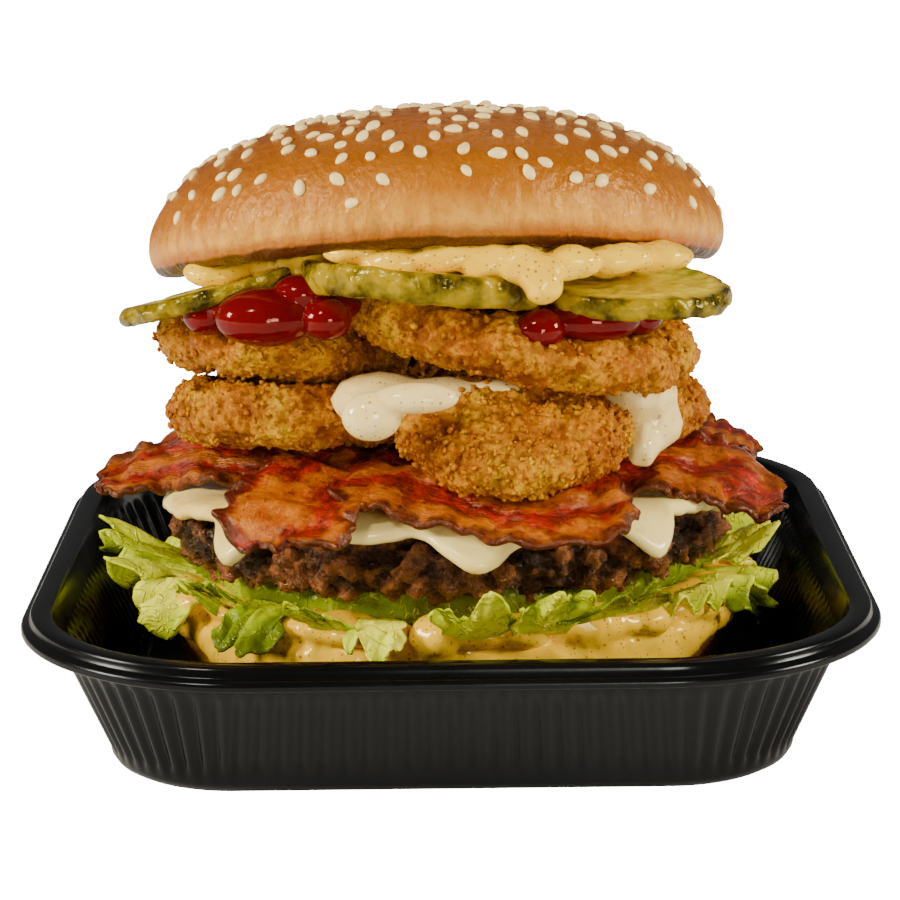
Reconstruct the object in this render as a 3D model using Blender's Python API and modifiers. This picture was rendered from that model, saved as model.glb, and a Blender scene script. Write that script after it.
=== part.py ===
"""A stacked bacon and onion ring burger, standing in its black takeaway tray.

Metres, +Z up. The origin is on the ground under the middle of the tray, and the front faces -Y.
The stack leans back, because its fillings are pushed to the front, so each layer has a front rise:
the height that it gains for each metre towards -Y.
"""

import math

import bmesh
import bpy
from mathutils import Vector, noise

GAP = 0.00045  # room left between pieces that touch

# Tray
TRAY_WIDTH = 0.165
TRAY_DEPTH = 0.176
TRAY_CORNER_RADIUS = 0.0457
TRAY_CORNER_TAPER = 1.2  # how much faster the corner radius shrinks than the outline
TRAY_ARC_STEPS = 6
TRAY_MIN_RADIUS = 0.004
SHEET = 0.0009
TRAY_HEIGHT = 0.0295
LIP_BOTTOM = 0.0254
LEDGE_HEIGHT = 0.0273
LEDGE_OUTER = 0.0020  # insets from the lip's outline
LEDGE_INNER = 0.0060
BAND_TOP = 0.0252
BAND_BOTTOM = 0.0233
WALL_FOOT_INSET = 0.0164
FLOOR_FILLET = 0.0030

# Bread
BUN_RADIUS = 0.0570
HEEL_BOTTOM = SHEET + GAP
HEEL_TOP = 0.0172
HEEL_FOOT_RADIUS = 0.0525
HEEL_RISE = 0.04
CROWN_RADIUS = 0.0578
CROWN_CENTRE_X = -0.0023
CROWN_EDGE = 0.0856  # height of the crown's left and right lower edges
CROWN_ARCH = 0.0040  # how far the crown bends up between them
CROWN_RISE = 0.187
CROWN_ROLL = 0.024
CROWN_THICKNESS = 0.0298

# Layers over the heel
SAUCE_THICKNESS = 0.0034
SAUCE_RISE = 0.05
PATTY_RADIUS = 0.0575
PATTY_BOTTOM = 0.0268
PATTY_TOP = 0.0415
PATTY_RISE = 0.07
CHEESE_THICKNESS = 0.0023
BACON_THICKNESS = 0.0022

# Onion rings
RING_HALF_WIDTH = 0.0070
RING_HALF_HEIGHT = 0.0056

# Pickle slices
PICKLE_THICKNESS = 0.0048

# Pools of thick sauce, each made of balls of (centre, half sizes)
SAUCE_FRONT = (
    ((-0.0130, -0.0420, 0.0685), (0.0095, 0.0080, 0.0052)),
    ((-0.0010, -0.0440, 0.0700), (0.0090, 0.0050, 0.0030)),
    ((0.0100, -0.0450, 0.0708), (0.0060, 0.0040, 0.0022)),
)
SAUCE_RIGHT = (
    ((0.0370, -0.0310, 0.0670), (0.0075, 0.0070, 0.0048)),
    ((0.0405, -0.0300, 0.0608), (0.0048, 0.0050, 0.0055)),
    ((0.0372, -0.0350, 0.0570), (0.0030, 0.0045, 0.0042)),
)
KETCHUP_LEFT = (
    ((-0.0345, -0.0320, 0.0832), (0.0090, 0.0080, 0.0044)),
    ((-0.0285, -0.0370, 0.0858), (0.0060, 0.0050, 0.0040)),
    ((-0.0240, -0.0425, 0.0846), (0.0045, 0.0042, 0.0034)),
    ((-0.0450, -0.0230, 0.0806), (0.0070, 0.0070, 0.0036)),
)
KETCHUP_RIGHT = (
    ((0.0265, -0.0400, 0.0832), (0.0075, 0.0065, 0.0044)),
    ((0.0175, -0.0460, 0.0836), (0.0060, 0.0060, 0.0034)),
    ((0.0335, -0.0350, 0.0815), (0.0065, 0.0060, 0.0036)),
    ((0.0220, -0.0340, 0.0800), (0.0130, 0.0070, 0.0040)),
)

STEPS = 32  # columns round a turned layer

UNCUT = {}  # each piece's mesh as it was before its neighbours cut it


def clear_scene():
    for obj in list(bpy.data.objects):
        bpy.data.objects.remove(obj)


def collection(name):
    made = bpy.data.collections.new(name)
    bpy.context.scene.collection.children.link(made)
    return made


def material(name, colour, roughness):
    made = bpy.data.materials.new(name)
    made.use_nodes = True
    shader = made.node_tree.nodes["Principled BSDF"]
    shader.inputs["Base Color"].default_value = (*colour, 1.0)
    shader.inputs["Roughness"].default_value = roughness
    shader.inputs["Metallic"].default_value = 0.0
    return made


def new_object(name, mesh, group):
    obj = bpy.data.objects.new(name, mesh)
    group.objects.link(obj)
    return obj


def finish(obj, surface, crease_angle=50.0):
    """Gives a piece its material and smooth shading."""
    obj.data.materials.clear()
    obj.data.materials.append(surface)
    obj.data.shade_smooth()
    obj.data.set_sharp_from_angle(angle=math.radians(crease_angle))
    return obj


def cleaned(mesh, merge=0.00002):
    """Merges doubles and turns every face outwards."""
    bm = bmesh.new()
    bm.from_mesh(mesh)
    bmesh.ops.remove_doubles(bm, verts=bm.verts, dist=merge)
    bmesh.ops.dissolve_degenerate(bm, edges=bm.edges, dist=merge)
    bmesh.ops.recalc_face_normals(bm, faces=bm.faces)
    bm.to_mesh(mesh)
    bm.free()
    return mesh


def baked(obj):
    """Replaces the object's mesh by the one its modifiers make, with its place in the mesh."""
    graph = bpy.context.evaluated_depsgraph_get()
    mesh = bpy.data.meshes.new_from_object(obj.evaluated_get(graph))
    mesh.transform(obj.matrix_world)
    obj.modifiers.clear()
    obj.data = cleaned(mesh)
    obj.matrix_world.identity()
    return obj


def moved(obj, move):
    """Moves every vertex by a function of its place."""
    for vertex in obj.data.vertices:
        vertex.co = move(vertex.co.copy())
    obj.data.update()
    return obj


def smooth_step(low, high, value):
    share = min(1.0, max(0.0, (value - low) / (high - low)))
    return share * share * (3 - 2 * share)


def lumps(point, size, seed=0.0):
    """Smooth noise from -1 to 1, with lumps of about this size."""
    return noise.noise(Vector(point) / size + Vector((seed, seed * 1.7, -seed)))


def bump_at(angle, centre, width):
    """1 at the centre angle, falling to 0 at this width away. Angles are in degrees."""
    away = abs((angle - centre + 180) % 360 - 180)
    return 0.5 + 0.5 * math.cos(math.pi * min(1.0, away / width))


def angle_of(point):
    """Degrees round the stack: 0 at +X, -90 at the front."""
    return math.degrees(math.atan2(point.y, point.x))


def turned(name, profile, group, steps=STEPS):
    """A solid turned about Z from a profile of (radius, height), from the top axis down the outside."""
    mesh = bpy.data.meshes.new(name)
    edges = [(i, i + 1) for i in range(len(profile) - 1)]
    mesh.from_pydata([(r, 0.0, z) for r, z in profile], edges, [])
    obj = new_object(name, mesh, group)
    screw = obj.modifiers.new("turn", "SCREW")
    screw.axis = "Z"
    screw.steps = steps
    screw.render_steps = steps
    screw.use_merge_vertices = True
    screw.merge_threshold = 0.00005
    return baked(obj)


def keep_largest(mesh):
    """Removes all but the largest closed body of a mesh."""
    bm = bmesh.new()
    bm.from_mesh(mesh)
    left = set(bm.faces)
    bodies = []
    while left:
        body = set()
        waiting = [left.pop()]
        while waiting:
            face = waiting.pop()
            body.add(face)
            for edge in face.edges:
                for other in edge.link_faces:
                    if other in left:
                        left.discard(other)
                        waiting.append(other)
        bodies.append(body)
    bodies.sort(key=lambda faces: sum(face.calc_area() for face in faces))
    for body in bodies[:-1]:
        bmesh.ops.delete(bm, geom=list(body), context="FACES")
    bm.to_mesh(mesh)
    bm.free()


def flattened(mesh, degrees=4.0):
    """Joins the nearly flat faces that the cuts left in slivers."""
    bm = bmesh.new()
    bm.from_mesh(mesh)
    bmesh.ops.dissolve_limit(
        bm, angle_limit=math.radians(degrees), verts=bm.verts, edges=bm.edges
    )
    bmesh.ops.triangulate(bm, faces=bm.faces, ngon_method="BEAUTY")
    bm.to_mesh(mesh)
    bm.free()


def grown_copy(obj, by, group):
    """A slightly larger copy of a piece as it was before any cut, for cutting its neighbour."""
    copy = new_object(obj.name + "_cutter", UNCUT.get(obj.name, obj.data).copy(), group)
    copy.hide_render = True
    copy.display_type = "WIRE"
    bm = bmesh.new()
    bm.from_mesh(copy.data)
    bm.normal_update()
    for vertex in bm.verts:
        vertex.co += vertex.normal * by * vertex.calc_shell_factor()
    bm.to_mesh(copy.data)
    bm.free()
    return copy


def carve(obj, neighbours, cutters, gap=GAP):
    """Cuts the piece back so that it only touches these neighbours."""
    UNCUT.setdefault(obj.name, obj.data.copy())
    for neighbour in neighbours:
        cut = obj.modifiers.new("cut", "BOOLEAN")
        cut.operation = "DIFFERENCE"
        cut.solver = "EXACT"
        cut.object = grown_copy(neighbour, gap, cutters)
        baked(obj)
        keep_largest(obj.data)
    flattened(obj.data)
    return obj


# ---------------------------------------------------------------- tray


def rounded_outline(inset):
    """Points round the tray's outline, this far inside its lip."""
    half_x = TRAY_WIDTH / 2 - inset
    half_y = TRAY_DEPTH / 2 - inset
    radius = max(TRAY_MIN_RADIUS, TRAY_CORNER_RADIUS - TRAY_CORNER_TAPER * inset)
    points = []
    for quarter, (sign_x, sign_y) in enumerate(((1, 1), (-1, 1), (-1, -1), (1, -1))):
        for step in range(TRAY_ARC_STEPS + 1):
            angle = math.radians(90) * (quarter + step / TRAY_ARC_STEPS)
            points.append(
                (
                    sign_x * (half_x - radius) + radius * math.cos(angle),
                    sign_y * (half_y - radius) + radius * math.sin(angle),
                )
            )
    return points


def tray_section():
    """(inset, height) from the floor's upper side, over the rim and down the outside to the foot."""
    foot = WALL_FOOT_INSET
    inner = foot + SHEET
    band = 0.0074
    return (
        (inner + FLOOR_FILLET, SHEET),
        (inner + 0.0008, 0.0017),
        (inner, 0.0032),
        (band + SHEET, BAND_BOTTOM),
        (band + 0.0003, BAND_TOP),
        (LEDGE_INNER + 0.0004, TRAY_HEIGHT - 0.0006),
        (LEDGE_INNER, TRAY_HEIGHT),
        (LEDGE_OUTER + 0.0004, TRAY_HEIGHT),
        (LEDGE_OUTER, TRAY_HEIGHT - 0.0004),
        (LEDGE_OUTER - 0.0003, LEDGE_HEIGHT + 0.0002),
        (0.0005, LEDGE_HEIGHT),
        (0.0001, LEDGE_HEIGHT - 0.0005),
        (0.0, LIP_BOTTOM),
        (SHEET, LIP_BOTTOM),
        (SHEET + 0.0001, LEDGE_HEIGHT - SHEET),
        (LEDGE_OUTER + 0.0005, LEDGE_HEIGHT - SHEET),
        (LEDGE_OUTER + SHEET, TRAY_HEIGHT - SHEET),
        (LEDGE_INNER - SHEET, TRAY_HEIGHT - SHEET),
        (band - 0.0005, BAND_TOP),
        (band, BAND_BOTTOM),
        (foot, 0.0032),
        (foot + 0.0008, 0.0009),
        (foot + FLOOR_FILLET, 0.0),
    )


def make_tray(group, surface):
    """The tray, lofted through one rounded outline for each point of its section."""
    bm = bmesh.new()
    loops = [
        [bm.verts.new((x, y, height)) for x, y in rounded_outline(inset)]
        for inset, height in tray_section()
    ]
    for lower, upper in zip(loops, loops[1:]):
        for i in range(len(lower)):
            j = (i + 1) % len(lower)
            bm.faces.new((lower[i], lower[j], upper[j], upper[i]))
    bm.faces.new(loops[0])
    bm.faces.new(loops[-1])
    bmesh.ops.recalc_face_normals(bm, faces=bm.faces)
    mesh = bpy.data.meshes.new("tray")
    bm.to_mesh(mesh)
    bm.free()
    return finish(new_object("tray", mesh, group), surface, 35)


# ---------------------------------------------------------------- bread


def crown_underside(x, y):
    """Height of the crown's cut face."""
    across = (x - CROWN_CENTRE_X) / CROWN_RADIUS
    arch = CROWN_ARCH * (1 - across * across)
    return CROWN_EDGE + arch - CROWN_RISE * y + CROWN_ROLL * (x - CROWN_CENTRE_X)


def make_heel(group, surface):
    profile = (
        (0.0, HEEL_TOP),
        (0.030, HEEL_TOP),
        (0.050, HEEL_TOP),
        (BUN_RADIUS - 0.0012, HEEL_TOP - 0.0006),
        (BUN_RADIUS, HEEL_TOP - 0.0030),
        (BUN_RADIUS - 0.0014, 0.0090),
        (HEEL_FOOT_RADIUS + 0.0006, 0.0036),
        (HEEL_FOOT_RADIUS - 0.0020, HEEL_BOTTOM),
        (0.0, HEEL_BOTTOM),
    )

    def shape(point):
        share = smooth_step(HEEL_BOTTOM, HEEL_TOP, point.z)
        wobble = 1 + 0.008 * lumps(point, 0.03, 3)
        point.z += share * -HEEL_RISE * point.y
        return Vector((point.x * wobble, point.y * wobble, point.z))

    return finish(moved(turned("bun_heel", profile, group), shape), surface)


def make_crown(group, surface):
    thick = CROWN_THICKNESS
    radius = CROWN_RADIUS
    profile = (
        (0.0, thick),
        (0.28 * radius, 0.985 * thick),
        (0.52 * radius, 0.93 * thick),
        (0.72 * radius, 0.815 * thick),
        (0.87 * radius, 0.64 * thick),
        (0.96 * radius, 0.44 * thick),
        (radius, 0.22 * thick),
        (0.985 * radius, 0.07 * thick),
        (0.945 * radius, 0.005 * thick),
        (0.90 * radius, 0.0),
        (0.55 * radius, 0.0),
        (0.0, 0.0),
    )

    def shape(point):
        wobble = 1 + 0.010 * lumps(point, 0.035, 8)
        x = point.x * wobble + CROWN_CENTRE_X
        y = point.y * wobble
        return Vector((x, y, point.z + crown_underside(x, y)))

    return finish(moved(turned("bun_crown", profile, group), shape), surface)


# ---------------------------------------------------------------- layers on the heel


def sauce_drop(angle):
    """How far the lower sauce runs down over the heel's side."""
    return (
        0.0012
        + 0.0075 * bump_at(angle, -132, 20)
        + 0.0060 * bump_at(angle, -97, 26)
        + 0.0050 * bump_at(angle, -70, 18)
        + 0.0085 * bump_at(angle, -48, 16)
        + 0.0050 * bump_at(angle, 38, 22)
        + 0.0060 * bump_at(angle, 96, 24)
        + 0.0045 * bump_at(angle, 150, 20)
    )


def make_lower_sauce(group, surface):
    top = HEEL_TOP + GAP + SAUCE_THICKNESS
    foot = HEEL_TOP - 0.0008
    edge = BUN_RADIUS + 0.0024
    profile = (
        (0.0, top),
        (0.030, top),
        (0.050, top),
        (0.0555, top - 0.0004),
        (edge - 0.0008, top - 0.0018),
        (edge, top - 0.0036),
        (edge - 0.0002, foot + 0.0008),
        (edge - 0.0012, foot),
        (0.052, foot),
        (0.0, foot),
    )

    def shape(point):
        angle = angle_of(point)
        low = 1 - smooth_step(foot, foot + 0.0030, point.z)
        reach = smooth_step(0.048, 0.056, math.hypot(point.x, point.y))
        point.z -= low * reach * sauce_drop(angle)
        wobble = 1 + reach * 0.014 * lumps(point, 0.009, 5)
        point.z += 0.0005 * lumps(point, 0.012, 2) - SAUCE_RISE * point.y
        return Vector((point.x * wobble, point.y * wobble, point.z))

    obj = moved(turned("lower_sauce", profile, group, 36), shape)
    return finish(obj, surface)


def lettuce_reach(angle):
    """How far the chopped lettuce sticks out, as a share of the bun's radius."""
    return (
        1.00
        + 0.20 * bump_at(angle, 180, 22)
        + 0.10 * bump_at(angle, -152, 16)
        + 0.055 * bump_at(angle, -112, 20)
        + 0.055 * bump_at(angle, -78, 22)
        + 0.03 * bump_at(angle, -50, 18)
        + 0.10 * bump_at(angle, -8, 20)
        + 0.09 * bump_at(angle, 40, 20)
        + 0.07 * bump_at(angle, 90, 24)
        + 0.10 * bump_at(angle, 132, 20)
    )


def make_lettuce(group, surface):
    profile = (
        (0.0, 0.0290),
        (0.040, 0.0290),
        (0.053, 0.0290),
        (0.0585, 0.0292),
        (0.0612, 0.0280),
        (0.0605, 0.0248),
        (0.0590, 0.0222),
        (0.053, 0.0196),
        (0.040, 0.0188),
        (0.0, 0.0188),
    )

    def shape(point):
        angle = angle_of(point)
        radius = math.hypot(point.x, point.y)
        edge = smooth_step(0.050, 0.060, radius)
        reach = 1 + edge * (lettuce_reach(angle) - 1)
        lift = edge * (0.0016 * lumps(point, 0.011, 9) + 0.0014 * math.sin(math.radians(angle * 7)))
        z = point.z + lift - PATTY_RISE * point.y
        return Vector((point.x * reach, point.y * reach, z))

    return finish(moved(turned("lettuce", profile, group, 42), shape), surface)


def make_patty(group, surface):
    top = PATTY_TOP
    low = PATTY_BOTTOM
    radius = PATTY_RADIUS
    profile = (
        (0.0, top),
        (0.030, top),
        (0.0480, top - 0.0002),
        (0.0540, top - 0.0018),
        (radius - 0.0008, top - 0.0046),
        (radius, (top + low) / 2),
        (radius - 0.0012, low + 0.0038),
        (0.0535, low + 0.0012),
        (0.0470, low),
        (0.0, low),
    )

    def shape(point):
        side = smooth_step(0.045, 0.056, math.hypot(point.x, point.y))
        wobble = 1 + side * 0.016 * lumps(point, 0.009, 11) - 0.006 * side
        point.z += 0.0005 * lumps(point, 0.010, 12) - PATTY_RISE * point.y
        return Vector((point.x * wobble, point.y * wobble, point.z))

    return finish(moved(turned("beef_patty", profile, group), shape), surface)


def cheese_reach(angle):
    """How far the melted slice runs, measured over the patty from its middle."""
    return (
        0.0550
        + 0.0065 * bump_at(angle, -134, 15)
        + 0.0030 * bump_at(angle, -165, 18)
        + 0.0045 * bump_at(angle, -86, 20)
        + 0.0060 * bump_at(angle, -47, 14)
        + 0.0030 * bump_at(angle, -12, 22)
        + 0.0100 * bump_at(angle, 42, 18)
        + 0.0060 * bump_at(angle, 92, 20)
        + 0.0090 * bump_at(angle, 140, 18)
    )


def draped_over_patty(along, lift):
    """(radius, height) of a point this far from the middle along the patty's skin, and this far off it."""
    shoulder = 0.0500
    bend = 0.0085
    quarter = bend * math.pi / 2
    off = lift + GAP
    if along < shoulder:
        return along, PATTY_TOP + off
    turn = min(1.0, (along - shoulder) / quarter) * math.pi / 2
    down = max(0.0, along - shoulder - quarter)
    radius = shoulder + (bend + off) * math.sin(turn)
    height = PATTY_TOP - bend + (bend + off) * math.cos(turn) - down
    return radius, height


def make_cheese(group, surface):
    full = 0.060
    thick = CHEESE_THICKNESS
    sunk = -0.0024  # the underside starts inside the patty, which then cuts it
    profile = (
        (0.0, thick),
        (0.024, thick),
        (0.042, thick),
        (0.050, thick),
        (0.056, thick),
        (0.0592, 0.85 * thick),
        (full, 0.4 * thick),
        (full, sunk),
        (0.056, sunk),
        (0.050, sunk),
        (0.042, sunk),
        (0.0, sunk),
    )

    def shape(point):
        radius = math.hypot(point.x, point.y)
        if radius < 1e-6:
            return Vector((0.0, 0.0, PATTY_TOP + GAP + point.z))
        share = radius / full
        stretch = 1 + smooth_step(0.55, 0.85, share) * (cheese_reach(angle_of(point)) / full - 1)
        out, height = draped_over_patty(radius * stretch, point.z)
        scale = out / radius
        y = point.y * scale
        return Vector((point.x * scale, y, height - PATTY_RISE * y))

    return finish(moved(turned("cheese_slice", profile, group, 33), shape), surface)


# ---------------------------------------------------------------- bacon


def on_curve(points, share):
    """A point of a smooth curve through these points, with share from 0 to 1."""
    place = share * (len(points) - 1)
    first = min(int(place), len(points) - 2)
    t = place - first
    a = Vector(points[max(0, first - 1)])
    b = Vector(points[first])
    c = Vector(points[first + 1])
    d = Vector(points[min(len(points) - 1, first + 2)])
    return 0.5 * (
        2 * b
        + (c - a) * t
        + (2 * a - 5 * b + 4 * c - d) * t * t
        + (3 * b - a - 3 * c + d) * t * t * t
    )


def make_bacon(name, route, width, banks, group, surface, ripple=0.0010, seed=0.0):
    """A rasher along a route, its width banked by these degrees from its first end to its last."""
    along_steps = max(10, len(route) * 2)
    across_steps = 3
    bm = bmesh.new()
    bmesh.ops.create_grid(bm, x_segments=along_steps, y_segments=across_steps, size=0.5)
    for vertex in bm.verts:
        along = vertex.co.x + 0.5
        across = vertex.co.y
        centre = on_curve(route, along)
        step = on_curve(route, min(1.0, along + 0.02)) - on_curve(route, max(0.0, along - 0.02))
        place = along * (len(banks) - 1)
        index = min(int(place), len(banks) - 2)
        bank = banks[index] + (banks[index + 1] - banks[index]) * (place - index)
        level = Vector((-step.y, step.x, 0)).normalized()
        upright = Vector((0, 0, 1))
        side = level * math.cos(math.radians(bank)) + upright * math.sin(math.radians(bank))
        swell = 1 + 0.06 * lumps(centre, 0.02, seed)
        end = min(along, 1 - along) * 9
        narrow = 0.80 + 0.20 * min(1.0, end)
        wave = ripple * math.sin(along * 19 + seed) * (0.4 + abs(across))
        vertex.co = centre + side * across * width * swell * narrow + upright * wave
    mesh = bpy.data.meshes.new(name)
    bm.to_mesh(mesh)
    bm.free()
    obj = new_object(name, mesh, group)
    shell = obj.modifiers.new("thickness", "SOLIDIFY")
    shell.thickness = BACON_THICKNESS
    shell.offset = 0.0
    return finish(baked(obj), surface, 60)


# ---------------------------------------------------------------- onion rings


def make_ring(name, centre, half_size, rise, slope, group, surface, seed=0.0):
    """A breaded ring. rise is its height gained towards the front, slope towards +X."""
    columns = 22
    sides = 7
    bpy.ops.mesh.primitive_torus_add(
        major_radius=1.0, minor_radius=0.25, major_segments=columns, minor_segments=sides
    )
    obj = bpy.context.object
    for owner in list(obj.users_collection):
        owner.objects.unlink(obj)
    group.objects.link(obj)
    obj.name = name
    obj.data.name = name

    def shape(point):
        angle = math.atan2(point.y, point.x)
        outward = (math.hypot(point.x, point.y) - 1.0) / 0.25
        upward = point.z / 0.25
        girth = 1 + 0.10 * lumps((math.cos(angle), math.sin(angle), seed), 0.8, seed)
        reach_x = half_size[0] - RING_HALF_WIDTH
        reach_y = half_size[1] - RING_HALF_WIDTH
        normal = Vector((math.cos(angle) * reach_y, math.sin(angle) * reach_x)).normalized()
        x = reach_x * math.cos(angle) + normal.x * outward * RING_HALF_WIDTH * girth
        y = reach_y * math.sin(angle) + normal.y * outward * RING_HALF_WIDTH * girth
        tilt = slope * x - rise * y
        wave = 0.0010 * lumps((x, y, 0), 0.03, seed + 4)
        return Vector((centre[0] + x, centre[1] + y, centre[2] + tilt + wave + upward * RING_HALF_HEIGHT * girth))

    return finish(moved(obj, shape), surface, 80)


def make_torn_ring_piece(name, group, surface):
    """The front piece: a thick bow of a torn ring that hangs forwards over the bacon."""
    bm = bmesh.new()
    bmesh.ops.create_uvsphere(bm, u_segments=22, v_segments=11, radius=1.0)
    mesh = bpy.data.meshes.new(name)
    bm.to_mesh(mesh)
    bm.free()
    obj = new_object(name, mesh, group)
    half = Vector((0.0225, 0.0118, 0.0066))
    tip = math.radians(34)
    centre = Vector((0.0115, -0.0475, 0.0630))

    def shape(point):
        x, y, z = (math.copysign(abs(part) ** 0.85, part) for part in point)
        front = max(0.0, -y)
        y = y * half.y * (1 - 0.25 * x * x) - 0.0020 * front * (1 - abs(x))
        z = z * half.z
        turned_y = y * math.cos(tip) - z * math.sin(tip)
        turned_z = y * math.sin(tip) + z * math.cos(tip)
        bow = 0.0060 * x * x
        return centre + Vector((x * half.x, turned_y + bow, turned_z - 0.0010 * x))

    return finish(moved(obj, shape), surface, 80)


# ---------------------------------------------------------------- pickles and sauces


def make_pickle(name, centre, radius, rise, slope, group, surface, seed=0.0):
    thick = PICKLE_THICKNESS
    profile = (
        (0.0, thick / 2),
        (0.55 * radius, thick / 2),
        (0.96 * radius, thick / 2),
        (radius, 0.28 * thick),
        (radius, -0.28 * thick),
        (0.96 * radius, -thick / 2),
        (0.0, -thick / 2),
    )

    def shape(point):
        angle = angle_of(point)
        edge = smooth_step(0.6, 1.0, math.hypot(point.x, point.y) / radius)
        wobble = 1 + edge * (0.012 * math.cos(math.radians(angle * 11)) + 0.02 * lumps(point, 0.02, seed))
        x = point.x * wobble
        y = point.y * wobble
        z = point.z + slope * x - rise * y + 0.0006 * lumps((x, y, 0), 0.02, seed)
        return Vector((centre[0] + x, centre[1] + y, centre[2] + z))

    return finish(moved(turned(name, profile, group, 24), shape), surface)


def make_blobs(name, balls, group, surface, voxel=0.0016, keep_share=0.16):
    """Thick sauce: overlapping balls of (centre, half sizes) run together into one body."""
    bm = bmesh.new()
    for centre, half in balls:
        made = bmesh.ops.create_uvsphere(bm, u_segments=16, v_segments=10, radius=1.0)
        for vertex in made["verts"]:
            vertex.co = Vector(centre) + Vector(a * b for a, b in zip(vertex.co, half))
    mesh = bpy.data.meshes.new(name)
    bm.to_mesh(mesh)
    bm.free()
    obj = new_object(name, mesh, group)
    melt = obj.modifiers.new("melt", "REMESH")
    melt.mode = "VOXEL"
    melt.voxel_size = voxel
    soften = obj.modifiers.new("soften", "SMOOTH")
    soften.factor = 0.5
    soften.iterations = 2
    fewer = obj.modifiers.new("fewer", "DECIMATE")
    fewer.ratio = keep_share
    return finish(baked(obj), surface, 80)


def upper_sauce_drop(angle):
    """How far the upper sauce hangs below the crown at its edge."""
    return (
        0.0008
        + 0.0030 * bump_at(angle, -168, 20)
        + 0.0020 * bump_at(angle, -112, 14)
        + 0.0075 * bump_at(angle, -71, 9)
        + 0.0030 * bump_at(angle, -80, 24)
        + 0.0022 * bump_at(angle, -50, 14)
        + 0.0030 * bump_at(angle, 30, 20)
        + 0.0050 * bump_at(angle, 84, 16)
        + 0.0035 * bump_at(angle, 128, 16)
    )


def make_upper_sauce(group, surface):
    thick = 0.0030
    sunk = 0.0016  # its top starts inside the crown, which then cuts it
    edge = CROWN_RADIUS - 0.0045
    profile = (
        (0.0, sunk),
        (0.030, sunk),
        (0.046, sunk),
        (edge, sunk),
        (edge, -0.5 * thick),
        (edge - 0.0006, -0.95 * thick),
        (0.0490, -thick),
        (0.042, -thick),
        (0.0, -thick),
    )

    def shape(point):
        angle = angle_of(point)
        radius = math.hypot(point.x, point.y)
        low = 1 - smooth_step(-thick, -0.3 * thick, point.z)
        hang = low * smooth_step(0.043, 0.0495, radius) * upper_sauce_drop(angle)
        reach = 1 + smooth_step(0.046, 0.052, radius) * (0.016 * lumps(point, 0.010, 21) - 0.01 + hang * 5)
        x = point.x * reach + CROWN_CENTRE_X
        y = point.y * reach
        return Vector((x, y, crown_underside(x, y) + point.z - hang))

    return finish(moved(turned("upper_sauce", profile, group, 30), shape), surface)


# ---------------------------------------------------------------- the whole


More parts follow.
